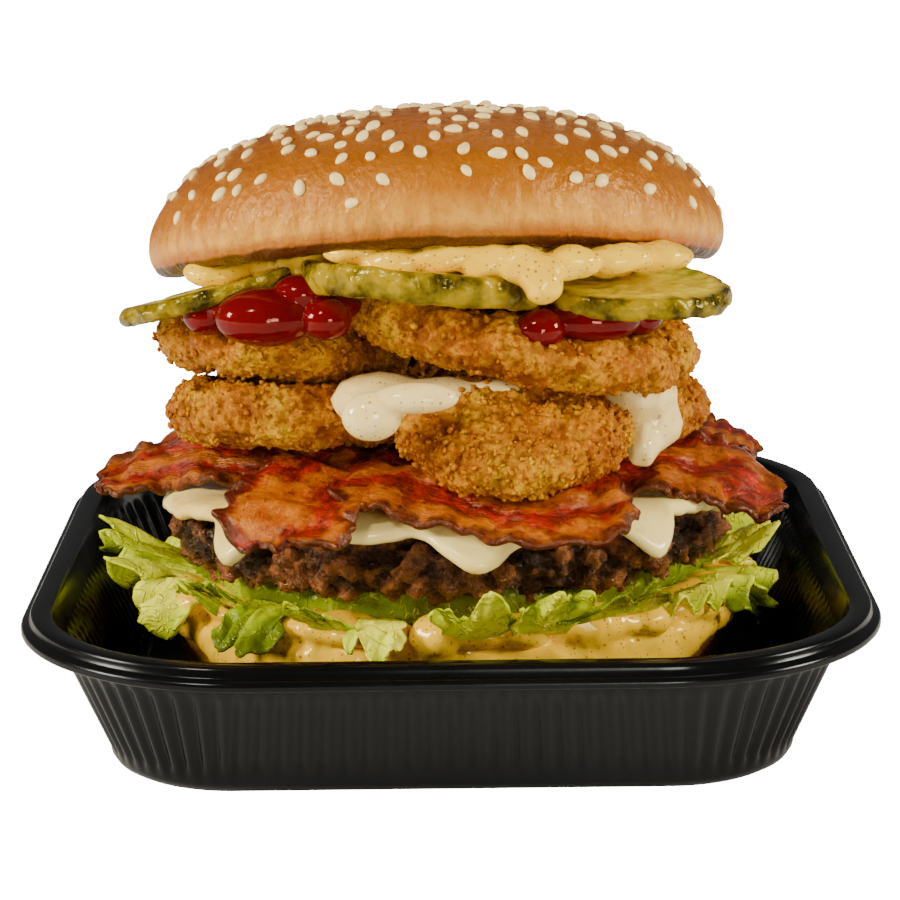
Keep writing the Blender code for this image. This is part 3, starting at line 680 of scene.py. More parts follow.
def bacon_material():
    """A fried rasher: bands of meat and fat along it, browned towards its ruffled edges."""
    made, place = new_material(
        "fried_rasher", specular_ior_level=0.60, specular_tint=(1.0, 0.72, 0.48)
    )
    tint = colours()
    across = marked(place, "across")
    flat = put(
        place.id_data, "ShaderNodeCombineXYZ",
        {"X": marked(place, "along"), "Y": times(across, 0.026)}
    ).outputs["Vector"]
    warp = drift_of(1.35, place, 48.0, 4.0, 0.6)
    bands = ramp(
        plus(across, warp), (0.0, 0.9), (0.17, 1.0), (0.25, 0.10), (0.40, 0.0), (0.50, 0.90),
        (0.66, 1.0), (0.75, 0.05), (0.88, 0.0), (0.95, 0.85)
    )
    fibre = noise_of(stretched(flat, (0.45, 1.0, 1.0)), 620.0, 5.0, 0.65)
    mottle = noise_of(place, 210.0, 5.0, 0.65)
    meat = mixed(
        ramp(fibre, (0.38, 0.0), (0.66, 1.0)), shaded(tint.bacon_meat, (0.38, 0.38, 0.38)),
        shaded(tint.bacon_meat, (1.8, 1.6, 1.6))
    )
    bright = mixed(
        ramp(mottle, (0.52, 0.0), (0.66, 0.8)), meat, shaded(tint.bacon_meat, (3.0, 3.4, 2.6))
    )
    fat = mixed(
        ramp(mottle, (0.34, 0.0), (0.64, 1.0)), shaded(tint.bacon_fat, (0.62, 0.38, 0.4)),
        shaded(tint.bacon_fat, (1.35, 1.9, 3.0))
    )
    surface = mixed(bands, bright, fat)
    edge = plus(marked(place, "edge"), drift_of(0.9, place, 260.0))
    browned = mixed(ramp(edge, (0.68, 0.0), (0.92, 0.92)), surface, (0.060, 0.0055, 0.002))
    spots = ramp(noise_of(place, 520.0, 4.0, 0.7), (0.58, 0.0), (0.68, 0.8))
    fried = mixed(spots, browned, (0.040, 0.005, 0.002))
    relief = plus(fibre, times(bands, 0.8))
    relief = plus(relief, times(mottle, 1.3))
    return wired(
        made, base_color=fried, roughness=moist(place, 260.0, 0.08, 0.30),
        normal=bumped(relief, 0.0008, 0.9)
    )


def cheese_material():
    made, place = new_material("melted_cheese", specular_ior_level=0.4)
    tint = colours().cheese
    base = ramp(
        noise_of(place, 60.0, 4.0), (0.34, shaded(tint, (0.92, 0.74, 0.46))),
        (0.48, shaded(tint, (0.98, 0.93, 0.85))), (0.66, tint)
    )
    grease = ramp(noise_of(place, 130.0, 3.0), (0.58, 0.0), (0.74, 0.65))
    greasy = mixed(grease, base, (0.66, 0.27, 0.030))
    return wired(
        made, base_color=greasy, roughness=moist(place, 180.0, 0.12, 0.30),
        normal=bumped(noise_of(place, 260.0, 3.0), 0.00025, 0.5)
    )


def beef_material():
    """Seared mince: brown, charred in patches and wet in patches. Its brown follows the grain of
    its bump, partly its own uneven tone and partly painted highlight on the raised grain and
    painted shade in the sunk grain, and it is near black between its lumps as painted shade.
    """
    made, place = new_material(
        "seared_mince", specular_ior_level=0.55, specular_tint=(1.0, 0.78, 0.58)
    )
    tint = colours().beef
    grain = noise_of(place, 260.0, 6.0, 0.68)
    # Partly painted highlight and shade: the same grain raises the bump, so the brightest stops
    # light the raised grain and the darkest stops shade the sunk grain; the rest is the mince's own
    # uneven tone.
    base = ramp(
        grain, (0.30, shaded(tint, (0.22, 0.22, 0.22))), (0.46, tint),
        (0.60, shaded(tint, (2.2, 2.3, 2.4))), (0.78, shaded(tint, (4.0, 4.6, 5.2)))
    )
    # Painted shade: near black in the hollows between the lumps.
    hollow = ramp(marked(place, "hollow"), (0.22, 1.0), (0.60, 0.0))
    deep = mixed(times(hollow, 0.95), base, (0.010, 0.0030, 0.0012))
    char = ramp(noise_of(place, 60.0, 4.0), (0.50, 0.0), (0.64, 0.75))
    charred = mixed(char, deep, (0.013, 0.0045, 0.002))
    strands = cells_of(place, 480.0, "F2")
    relief = plus(grain, times(strands, 0.7))
    relief = plus(relief, noise_of(place, 760.0, 4.0, 0.7))
    return wired(
        made, base_color=charred, roughness=moist(place, 480.0, 0.08, 0.34),
        normal=bumped(relief, 0.0014, 1.0)
    )


def leaf_material():
    """Fresh lettuce: pale and watery at its rib, green towards its frill. Painted shade darkens the
    troughs of its folds and the packed leaf under the patty.
    """
    made, place = new_material(
        "fresh_lettuce", specular_ior_level=0.35, specular_tint=(1.0, 1.0, 0.6)
    )
    tint = colours()
    drift = drift_of(0.8, place, 130.0, 3.0)
    out = plus(marked(place, "frill"), drift)
    # The darkest stop is partly the leaf's own darker green, partly painted shade for the fold
    # troughs and the packed leaf under the patty.
    base = ramp(
        out, (0.05, tint.leaf_rib), (0.50, shaded(tint.leaf, (2.7, 2.2, 3.2))), (0.85, tint.leaf),
        (1.0, shaded(tint.leaf, (0.5, 0.5, 0.5)))
    )
    veins = ramp(noise_of(place, 240.0, 2.0, 0.5, 0.6), (0.47, 0.0), (0.50, 1.0), (0.53, 0.0))
    veined = mixed(times(veins, 0.30), base, tint.leaf_rib)
    relief = plus(times(veins, 0.6), noise_of(place, 420.0, 4.0))
    return wired(
        made, base_color=veined, roughness=moist(place, 260.0, 0.14, 0.36),
        normal=bumped(relief, 0.0007, 0.8)
    )


# ---------------------------------------------------------------- tray

TRAY_WIDTH = TRAY_HIGH.x - TRAY_LOW.x
TRAY_DEPTH = TRAY_HIGH.y - TRAY_LOW.y
CORNER_RADIUS = 0.0457
CORNER_TAPER = 1.2
MEASURED_INSET = 0.0120  # the ribs are spaced along the outline at this inset
WALL_STEPS = 9

FLOOR_MIDDLE = 0.0790  # the inset at which the floor closes to its middle point
FLOOR_LINE = (
    (FLOOR_MIDDLE, 0.0009), (0.0500, 0.0009), (0.0215, 0.0009), (0.0190, 0.00105), (0.0179, 0.0018)
)
INNER_WALL = ((0.0173, 0.0032), (0.0084, 0.0230))
RIM_LINE = (
    (0.0081, 0.0240), (0.0077, 0.0252), (0.0071, 0.0268), (0.0065, 0.0286), (0.0061, 0.0293),
    (0.0056, 0.0295), (0.0026, 0.0295), (0.0021, 0.0293), (0.0019, 0.0287), (0.0018, 0.0277),
    (0.0014, 0.0274), (0.0006, 0.0273), (0.0002, 0.0270), (0.0000, 0.0265), (0.0000, 0.0257),
    (0.0003, 0.0254), (0.0008, 0.0255), (0.0009, 0.0262), (0.0026, 0.0264), (0.0030, 0.0284),
    (0.0052, 0.0286), (0.0062, 0.0270), (0.0069, 0.0252), (0.0073, 0.0238)
)
OUTER_WALL = ((0.0075, 0.0230), (0.0164, 0.0036))
FOOT_LINE = (
    (0.0167, 0.0022), (0.0175, 0.0010), (0.0190, 0.0002), (0.0206, 0.0), (0.0500, 0.0),
    (FLOOR_MIDDLE, 0.0)
)


def outline_sizes(inset):
    half_x = TRAY_WIDTH / 2 - inset
    half_y = TRAY_DEPTH / 2 - inset
    radius = max(0.0, CORNER_RADIUS - CORNER_TAPER * inset)
    return half_x, half_y, min(radius, half_x, half_y)


def outline_lengths():
    half_x, half_y, radius = outline_sizes(MEASURED_INSET)
    arc = radius * math.pi / 2
    return (arc, 2 * (half_x - radius), arc, 2 * (half_y - radius)) * 2


def outline_place(turn, inset):
    """A point this share of the way round the tray, this far inside its lip."""
    lengths = outline_lengths()
    left = turn * sum(lengths)
    part = 0
    while part < 7 and left > lengths[part]:
        left -= lengths[part]
        part += 1
    share = left / lengths[part]
    half_x, half_y, radius = outline_sizes(inset)
    quarter = part // 2
    signs = ((1, 1), (-1, 1), (-1, -1), (1, -1))

    def on_arc(index, portion):
        sign_x, sign_y = signs[index % 4]
        angle = math.pi / 2 * (index + portion)
        x = sign_x * (half_x - radius) + radius * math.cos(angle)
        y = sign_y * (half_y - radius) + radius * math.sin(angle)
        return Vector((x, y, 0.0))

    if part % 2 == 0:
        return on_arc(quarter, share)
    return on_arc(quarter, 1.0).lerp(on_arc(quarter + 1, 0.0), share)


def tray_section():
    """(inset, height, ribbed share) from the floor's middle, over the rim, to its underside."""
    section = [(inset, height, 0.0) for inset, height in FLOOR_LINE]
    for line, after in ((INNER_WALL, RIM_LINE), (OUTER_WALL, FOOT_LINE)):
        start, end = line
        for step in range(WALL_STEPS + 1):
            share = step / WALL_STEPS
            inset = start[0] + (end[0] - start[0]) * share
            height = start[1] + (end[1] - start[1]) * share
            ribbed = blend(0.0032, 0.0056, height) * (1 - blend(0.0212, 0.0226, height))
            section.append((inset, height, ribbed))
        section += [(inset, height, 0.0) for inset, height in after]
    return section


def build_tray():
    section = tray_section()
    ribs = round(sum(outline_lengths()) / sizes().rib_pitch)
    depth = sizes().rib_depth

    def place(turn, level):
        inset, height, ribbed = section[round(level * (len(section) - 1))]
        if inset >= FLOOR_MIDDLE:
            return Vector((0.0, 0.0, height))
        wave = 0.5 - 0.5 * math.cos(math.tau * ribs * turn)
        uneven = 0.85 + 0.15 * math.sin(math.tau * turn * 9)
        point = outline_place(turn, inset + depth * ribbed * uneven * wave ** 1.4)
        point.z = height
        return point

    piece = rolled("takeaway_tray", ribs * 6, len(section) - 1, place)
    settle(piece, tray_plastic(), "black_tray", "tray")


# ---------------------------------------------------------------- bun

CROWN_MIDDLE = 0.5 * (CROWN_LOW.x + CROWN_HIGH.x)
CROWN_RADIUS = 0.0578
CROWN_EDGE = 0.0856
CROWN_ARCH = 0.0040
CROWN_RISE = 0.187
CROWN_ROLL = 0.024
CROWN_HEIGHT = 0.0288
CROWN_LINE = (
    (0.0, 0.998), (0.15, 0.995), (0.30, 0.982), (0.45, 0.948), (0.58, 0.905), (0.70, 0.828),
    (0.80, 0.735), (0.88, 0.625), (0.94, 0.495), (0.98, 0.355), (0.995, 0.22), (0.985, 0.10),
    (0.955, 0.025), (0.915, 0.0), (0.80, 0.01), (0.45, 0.03), (0.0, 0.03)
)
CUT_LEVEL = 12.6 / 16  # the share of the line where the crust ends and the cut face begins


def crown_underside(x, y):
    across = (x - CROWN_MIDDLE) / CROWN_RADIUS
    arch = CROWN_ARCH * (1 - across * across)
    return CROWN_EDGE + arch - CROWN_RISE * y + CROWN_ROLL * (x - CROWN_MIDDLE)


def crown_place(turn, level):
    share, height = on_curve(CROWN_LINE, level)
    ring = heading(math.tau * turn)
    radius = CROWN_RADIUS * share * (1 + 0.010 * lumps(ring * CROWN_RADIUS * share, 0.035, 8))
    low = blend(0.02, 0.10, height) * (1 - blend(0.30, 0.62, height))
    crease = abs(noise_at(ring.x * 15, ring.y * 15, height * 1.6))
    finer = abs(noise_at(ring.x * 34, ring.y * 34, height * 3.0 + 5))
    radius -= low * (0.0016 * max(0.0, 0.26 - crease) + 0.0011 * max(0.0, 0.22 - finer))
    dent = 0.0005 * noise_at(ring.x * share * 7, ring.y * share * 7, height * 4)
    x = radius * ring.x + CROWN_MIDDLE
    y = radius * ring.y
    frayed = (1 - blend(0.03, 0.16, height)) * 0.0006 * lumps((x, y, 0.0), 0.0045, 4)
    return Vector((x, y, crown_underside(x, y) + height * CROWN_HEIGHT + dent * height - frayed))


def crown_rise(turn, level):
    height = on_curve(CROWN_LINE, level).y
    return height if level < CUT_LEVEL else -0.2


def build_crown():
    piece = rolled("crown_of_bun", 340, 112, crown_place, rise=crown_rise)
    settle(piece, crust_material("baked_crown"), "bun_crust", "bun_crown")
    build_seeds(piece)


HEEL_LINE = (
    (0.0, 1.0), (0.50, 1.0), (0.90, 1.0), (0.980, 0.975), (0.998, 0.90), (0.990, 0.72),
    (0.970, 0.45), (0.945, 0.20), (0.915, 0.05), (0.875, 0.0), (0.50, 0.0), (0.0, 0.0)
)
HEEL_RADIUS = 0.0570
HEEL_TOP = 0.0172
HEEL_RISE = 0.04


def heel_place(turn, level):
    share, height = on_curve(HEEL_LINE, level)
    ring = heading(math.tau * turn)
    radius = HEEL_RADIUS * share * (1 + 0.008 * lumps(ring * HEEL_RADIUS, 0.03, 3))
    crease = abs(noise_at(ring.x * 17, ring.y * 17, height * 1.2 + 9))
    radius -= blend(0.05, 0.3, height) * 0.0014 * max(0.0, 0.25 - crease)
    y = radius * ring.y
    base = HEEL_LOW.z + height * (HEEL_TOP - HEEL_LOW.z)
    return Vector((radius * ring.x, y, base - height * HEEL_RISE * y))


def build_heel():
    def rise(turn, level):
        return 0.10 + 0.42 * (1 - on_curve(HEEL_LINE, level).y)

    piece = rolled("heel_of_bun", 220, 60, heel_place, rise=rise)
    settle(piece, crust_material("baked_heel"), "bun_crust", "bun_heel")


def seed_shape():
    """One sesame seed: a plump oval, a little narrower at one end."""
    seed = added(bpy.ops.mesh.primitive_uv_sphere_add, segments=10, ring_count=7, radius=0.5)

    def oval(point):
        taper = 1.0 - 0.26 * blend(-0.10, 0.5, point.x)
        return Vector((point.x, point.y * 0.70 * taper, point.z * 0.46 * (0.6 + 0.4 * taper)))

    return reshape(seed, oval)


def build_seeds(crown):
    draw = random.Random(7)
    scale = sizes().seed_length
    chosen = []

    def wanted(point, normal):
        if normal.z < 0.12 or point.z < crown_underside(point.x, point.y) + 0.30 * CROWN_HEIGHT:
            return False
        if draw.random() > 0.10 + 0.90 * blend(0.40, 0.86, normal.z):
            return False
        if any((point - other).length < 1.22 * scale for other in chosen):
            return False
        chosen.append(point.copy())
        return True

    places = []
    for point, normal in surface_points(crown, sizes().seed_count, draw, wanted):
        size = scale * draw.uniform(0.84, 1.12)
        lean = Euler((draw.uniform(-0.25, 0.25), draw.uniform(-0.25, 0.25), 0.0)).to_matrix()
        sink = point + normal * size * 0.02
        spin = draw.uniform(0, math.tau)
        places.append(standing(sink, lean @ normal, spin, (size, size, size)))
    piece = scatter("sesame_seeds", [seed_shape()], places)
    settle(piece, seed_material(), "bun_crust")


# ---------------------------------------------------------------- patty, cheese and lettuce

STACK_RISE = 0.07  # how fast the patty's layers climb towards the front
PATTY_VOXEL = 0.0008
LEAF_VOXEL = 0.0011
LEAF_THICKNESS = 0.0005


def build_patty():
    piece = remeshed(subdivided(copy_of("beef_patty", "seared_patty"), 1), PATTY_VOXEL, 2)
    skin = skin_of(piece)
    size = sizes().nodule_size
    roughened(piece, "CLOUDS", 3.0 * size, 0.0034)
    roughened(piece, "VORONOI", 1.25 * size, -0.0052, 0.42)
    roughened(piece, "CLOUDS", 0.45 * size, 0.0024)
    roughened(piece, "VORONOI", 0.42 * size, -0.0016, 0.4)
    mark_hollows(piece, skin, 0.0024)
    settle(piece, beef_material(), "seared_beef", "beef_patty")


def build_cheese():
    shoulder = 0.0500
    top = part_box("beef_patty")[1].z - STACK_RISE * shoulder
    bend = 0.0085
    quarter = bend * math.pi / 2

    def place(turn, level):
        share, lift = on_curve(CHEESE_LINE, level)
        angle = 360.0 * turn - 180.0
        ring = heading(math.radians(angle))
        reach = cheese_reach(angle) + 0.0011 * lumps(ring, 0.16, 3) + 0.0006 * lumps(ring, 0.06, 5)
        run = share * (CHEESE_REACH + blend(0.55, 0.95, share) * (reach - CHEESE_REACH))
        hang = max(0.0, reach - 0.0585)
        thick = 0.0021 * (1 + blend(0.9, 1.0, share) * 60 * hang)
        thick *= 1 + 0.25 * lumps(ring * run, 0.011, 9)
        off = 0.0012 + lift * thick
        around = min(1.0, max(0.0, run - shoulder) / quarter) * math.pi / 2
        down = max(0.0, run - shoulder - quarter)
        if run < shoulder:
            out, height = run, off
        else:
            out = shoulder + (bend + off) * math.sin(around)
            height = (bend + off) * math.cos(around) - bend - down
        out += 0.0011 * lumps(ring * run, 0.016, 2) * blend(0.6, 1.0, share)
        point = ring * out
        point.z = top + height - STACK_RISE * point.y + 0.0007 * lumps(point, 0.013, 6)
        return point

    piece = rolled("melted_slice", 300, 84, place)
    settle(piece, cheese_material(), "melted_cheese", "cheese_slice")


LEAVES = (
    (-178, 0.0500, 0.0715, 0.0120, 0.0255, 0.0322, 0.0036, 0.10),
    (-171, 0.0500, 0.0690, 0.0140, 0.0250, 0.0278, 0.0038, -0.10),
    (-165, 0.0500, 0.0650, 0.0130, 0.0245, 0.0236, 0.0032, -0.05),
    (-157, 0.0500, 0.0665, 0.0150, 0.0255, 0.0215, 0.0030, -0.30),
    (-147, 0.0550, 0.0640, 0.0120, 0.0255, 0.0300, 0.0026, -0.10),
    (-138, 0.0560, 0.0632, 0.0125, 0.0265, 0.0325, 0.0028, 0.22),
    (-130, 0.0520, 0.0668, 0.0120, 0.0280, 0.0215, 0.0014, 0.50),
    (-112, 0.0575, 0.0645, 0.0105, 0.0258, 0.0318, 0.0034, 0.18),
    (-103, 0.0540, 0.0652, 0.0110, 0.0280, 0.0242, 0.0016, -0.40),
    (-87, 0.0580, 0.0655, 0.0145, 0.0256, 0.0350, 0.0044, -0.10),
    (-74, 0.0580, 0.0660, 0.0150, 0.0258, 0.0358, 0.0046, 0.02),
    (-58, 0.0585, 0.0645, 0.0250, 0.0275, 0.0318, 0.0016, 0.48),
    (-43, 0.0540, 0.0620, 0.0100, 0.0260, 0.0272, 0.0022, -0.35),
    (-33, 0.0520, 0.0635, 0.0120, 0.0260, 0.0268, 0.0026, -0.30),
    (-22, 0.0500, 0.0665, 0.0160, 0.0260, 0.0240, 0.0028, 0.10),
    (-15, 0.0500, 0.0660, 0.0120, 0.0250, 0.0185, 0.0018, 0.28),
    (-4, 0.0500, 0.0660, 0.0140, 0.0255, 0.0320, 0.0024, -0.40)
)


def near(angle, centre, width):
    away = abs((angle - centre + 180) % 360 - 180)
    return 0.5 + 0.5 * math.cos(math.pi * min(1.0, away / width))


CHEESE_REACH = 0.0550
CHEESE_TONGUES = (
    (0.0072, -134, 10), (0.0028, -158, 22), (0.0020, -108, 16), (0.0058, -86, 12),
    (0.0020, -72, 20), (0.0066, -49, 10), (0.0030, -22, 20), (0.0100, 42, 16), (0.0060, 92, 18),
    (0.0090, 140, 15)
)


def cheese_reach(angle):
    """How far the melted slice runs over the patty, from its middle, at this angle in degrees."""
    tongues = (out * near(angle, centre, width) for out, centre, width in CHEESE_TONGUES)
    return sum(tongues, CHEESE_REACH)


CHEESE_LINE = (
    (0.0, 1.0), (0.25, 1.0), (0.50, 1.0), (0.70, 1.0), (0.82, 1.0), (0.90, 1.0), (0.945, 1.15),
    (0.975, 1.30), (0.993, 1.10), (1.0, 0.70), (0.993, 0.20), (0.97, 0.0), (0.90, 0.0), (0.78, 0.0),
    (0.50, 0.0), (0.0, 0.0)
)


def leaf_shred(angle, root, reach, width, base, tip, frill, tone, draw):
    """One torn shred of lettuce: a crinkled sheet from under the patty, hanging or standing."""
    piece = sheet_grid("shred", 32, 20)
    out = heading(math.radians(angle))
    side = Vector((-out.y, out.x, 0.0))
    waves = draw.uniform(1.3, 2.1)
    phase = draw.uniform(0, 6.28)
    skew = draw.uniform(-0.0020, 0.0020)
    seed = draw.uniform(0, 50)
    layer = layer_on(piece, "frill")
    for vertex in piece.data.vertices:
        across = vertex.co.x
        along = vertex.co.y + 0.5
        ragged = 1 - 5.0 * across**4 + 0.34 * noise_at(across * 3.2, seed, 0.0)
        ragged -= 0.22 * abs(noise_at(across * 8.0, seed, 4.0))
        torn = 1 + 0.35 * noise_at(along * 3.5, seed, 8.0 if across > 0 else 2.0)
        grown = along * max(0.25, ragged)
        spread = across * width * torn * (0.72 + 0.42 * along)
        rim = along**1.2
        curl = frill * rim * math.sin(math.tau * waves * across + phase)
        curl += 0.40 * frill * rim * math.sin(math.tau * 2.3 * waves * across + 2 * phase)
        tight = 0.0011 * along * noise_at(across * 7, along * 4, seed)
        steep = min(1.0, abs(tip - base) / max(0.004, reach - root))
        run = root + (reach - root) * grown**0.8 + 0.8 * curl * steep
        place = out * run + side * (spread + skew * along)
        sag = 0.0012 * math.sin(math.pi * along)
        fall = 0.35 * curl * steep + curl * (1 - steep)
        height = base + (tip - base) * grown**1.25 + fall + tight + sag
        vertex.co = Vector((place.x, place.y, height))
        # Painted shade: the frill mark is raised, and the leaf darker, in the troughs of its folds.
        fold = 0.22 * curl / max(frill, 0.0001)
        layer.data[vertex.index].value = 0.14 + 0.50 * along + tone - fold + 0.2 * abs(across)
    return thickened(piece, LEAF_THICKNESS)


def build_lettuce():
    draw = random.Random(21)
    shreds = [leaf_shred(*leaf, draw) for leaf in LEAVES]
    count = sizes().leaf_count
    for index in range(count):
        angle = 6.0 + 172.0 * (index + draw.uniform(-0.4, 0.4)) / count
        reach = 0.058 + 0.009 * draw.random() + 0.004 * near(angle, 40, 20)
        width = draw.uniform(0.009, 0.017)
        frill = draw.uniform(0.0014, 0.0034)
        tip = draw.uniform(0.0195, 0.0270)
        tone = draw.uniform(-0.4, 0.4)
        shreds.append(leaf_shred(angle, 0.048, reach, width, 0.0245, tip, frill, tone, draw))
    core = drawn_in(remeshed(copy_of("lettuce", "packed_leaf"), LEAF_VOXEL, 2), 0.047, 0.25)
    roughened(core, "CLOUDS", 0.003, 0.0020)
    # Painted shade: the packed leaf under the patty is marked past the darkest stop of the leaf's
    # green.
    mark(core, "frill", lambda point: 1.10 + 0.4 * lumps(point, 0.008, 2))
    piece = joined("chopped_lettuce", [core] + shreds)
    settle(piece, leaf_material(), "lettuce_leaf", "lettuce")


# ---------------------------------------------------------------- bacon

RASHER_STEP = 0.00055  # the length of one row of a rasher's grid
RASHERS = (
    (
        "left",
        (
            (-0.0705, -0.0110, 0.0452), (-0.0590, -0.0090, 0.0480), (-0.0450, -0.0120, 0.0505),
            (-0.0290, -0.0160, 0.0500), (-0.0130, -0.0180, 0.0512), (0.0040, -0.0170, 0.0545)
        ),
        0.0155, (10, 30, 22, 8, 0), 1.0
    ),
    (
        "front_left",
        (
            (-0.0330, -0.0640, 0.0460), (-0.0295, -0.0545, 0.0508), (-0.0235, -0.0400, 0.0540),
            (-0.0180, -0.0300, 0.0540)
        ),
        0.026, (0, 0, 4, 4), 2.0
    ),
    (
        "front_centre",
        (
            (-0.0205, -0.0395, 0.0520), (-0.0100, -0.0455, 0.0535), (0.0040, -0.0510, 0.0508),
            (0.0190, -0.0545, 0.0500), (0.0335, -0.0510, 0.0522)
        ),
        0.0225, (10, 14, 20, 22, 18), 3.0
    ),
    (
        "right",
        (
            (0.0200, -0.0240, 0.0492), (0.0380, -0.0220, 0.0494), (0.0540, -0.0200, 0.0484),
            (0.0660, -0.0200, 0.0440)
        ),
        0.024, (8, 12, 18, 16), 4.0
    ),
    (
        "back",
        (
            (0.0650, 0.0240, 0.0412), (0.0560, 0.0260, 0.0452), (0.0400, 0.0300, 0.0448),
            (0.0160, 0.0350, 0.0436), (-0.0100, 0.0370, 0.0436), (-0.0340, 0.0360, 0.0438),
            (-0.0520, 0.0330, 0.0444), (-0.0640, 0.0300, 0.0412)
        ),
        0.022, (4, 0, -4, -4, -4, -4, 0, 6), 5.0
    )
)


def rasher(name, route, width, banks, seed):
    """A rasher along a route: rippled, with ruffled edges, and banked by these degrees along it."""
    run = sum((Vector(b) - Vector(a)).length for a, b in zip(route, route[1:]))
    piece = sheet_grid(name, max(50, round(run / RASHER_STEP)), 36)
    layers = {key: layer_on(piece, key) for key in ("across", "along", "edge")}
    for vertex in piece.data.vertices:
        along = vertex.co.x + 0.5
        across = vertex.co.y
        centre = on_curve(route, along)
        step = on_curve(route, min(1.0, along + 0.02)) - on_curve(route, max(0.0, along - 0.02))
        place = along * (len(banks) - 1)
        index = min(int(place), len(banks) - 2)
        bank = math.radians(banks[index] + (banks[index + 1] - banks[index]) * (place - index))
        level = Vector((-step.y, step.x, 0.0)).normalized()
        tilt = level * math.cos(bank) + Vector((0, 0, 1)) * math.sin(bank)
        up = step.cross(tilt).normalized()
        if up.z < 0:
            up.negate()
        far = along * run
        half = 1 if across > 0 else -1
        ends = min(along, 1 - along) * run
        rounding = 1 - 0.50 * (1 - blend(0.0, 0.010, ends)) ** 2
        ragged = 1 + 0.20 * noise_at(far * 80, seed, half * 2.0)
        ragged += 0.10 * noise_at(far * 330, seed, half * 5.0)
        drift = 3.0 * noise_at(far * 90, seed, half)
        beads = math.sin(far * 1500 + drift * 5 + half * seed)
        rim = blend(0.28, 0.5, abs(across))
        ragged += rim * 0.020 * beads
        wave = 0.0024 * noise_at(far * 85, across * 1.3, seed)
        ripple = 0.0013 * noise_at(far * 210, across * 3.4, seed + 9)
        strength = 0.6 + 0.9 * abs(noise_at(far * 70, seed, half * 3.0))
        ruffle = rim * 0.0010 * strength * math.sin(far * 640 + drift * 4.0 + seed * 5 * half)
        curled = 0.0026 * rim * rim * noise_at(far * 60, half * 4.0, seed + 3)
        offset = across * width * rounding * ragged
        jag = (1 - blend(0.0, 0.004, ends)) * 0.0022 * noise_at(across * 6, seed, 7)
        rise = wave + ripple + ruffle + curled + rim * 0.00025 * beads
        vertex.co = centre + tilt * offset + up * rise + step.normalized() * jag
        layers["across"].data[vertex.index].value = across + 0.5
        layers["along"].data[vertex.index].value = far
        end_share = 1 - blend(0.0, 0.003, ends)
        layers["edge"].data[vertex.index].value = max(2 * abs(across), end_share)
    thickened(piece, sizes().rasher_thickness)
    return subdivided(piece, 1)


def build_bacon():
    surface = bacon_material()
    for side, *form in RASHERS:
        settle(rasher("rasher_" + side, *form), surface, "fried_bacon", "bacon_" + side)


# ---------------------------------------------------------------- onion rings

RING_VOXEL = 0.00055
BREADING_THICKNESS = 0.0012
RINGS = (
    "lower_left", "lower_right", "lower_back", "lower_front", "upper_left", "upper_right",
    "upper_back"
)


def crumb_shape(seed):
    """One dry crumb: a small uneven chip."""
    crumb = added(bpy.ops.mesh.primitive_ico_sphere_add, subdivisions=1, radius=0.5)

    def chipped(point):
        return point * (1 + 0.55 * noise.noise(point * 2.3 + Vector((seed * 3.1, seed, 0))))

    # Painted shade: each crumb is marked darker towards its underside, where it sits on the ring.
    return mark(reshape(crumb, chipped), "hollow", lambda point: 0.6 + 0.5 * point.z)


def build_onion_rings():
    surface = breading_material()
    draw = random.Random(11)
    size = sizes().crumb_size
    for ring in RINGS:
        name, node = "breaded_ring_" + ring, "onion_ring_" + ring
        piece = remeshed(subdivided(copy_of(node, name), 2), RING_VOXEL, 3)
        swollen(piece, BREADING_THICKNESS)
        skin = skin_of(piece)
        roughened(piece, "CLOUDS", 0.0080, 0.0034)
        roughened(piece, "CLOUDS", 0.0024, 0.0017)
        roughened(piece, "VORONOI", 0.0014, -0.0010, 0.3)
        mark_hollows(piece, skin, 0.0018)
        places = []
        for point, normal in surface_points(piece, sizes().crumb_count, draw):
            grade = size * draw.choice((0.6, 0.8, 0.9, 1.1, 1.5))
            shape = (grade * draw.uniform(0.8, 1.5), grade * draw.uniform(0.6, 1.0), grade * 0.7)
            spin = draw.uniform(0, 6.28)
            places.append(standing(point + normal * 0.12 * grade, normal, spin, shape))
        kinds = [crumb_shape(seed) for seed in range(5)]
        crumbs = scatter("crumbs", kinds, places)
        settle(joined(name, [piece, crumbs]), surface, "golden_breading", node)


# ---------------------------------------------------------------- pickles

PICKLES = (
    ("left", (-0.0420, -0.0220, 0.0862), 0.0215, 0.0036, 0.150, 0.26, 1.0),
    ("centre", (-0.0040, -0.0385, 0.0900), 0.0232, 0.0060, 0.150, -0.09, 2.0),
    ("right", (0.0345, -0.0360, 0.0880), 0.0192, 0.0040, -0.030, -0.05, 3.0),
    ("back", (0.0020, 0.0360, 0.0772), 0.0220, 0.0046, 0.17, 0.0, 4.0)
)
PICKLE_LINE = (
    (0.0, 0.46), (0.35, 0.45), (0.70, 0.46), (0.90, 0.50), (0.97, 0.47), (1.00, 0.28), (1.01, 0.0),
    (1.00, -0.28), (0.97, -0.47), (0.90, -0.50), (0.60, -0.47), (0.0, -0.46)
)


def on_ring(angle, radius, height):
    """A place at this angle in degrees round the burger."""
    return (radius * math.cos(math.radians(angle)), radius * math.sin(math.radians(angle)), height)


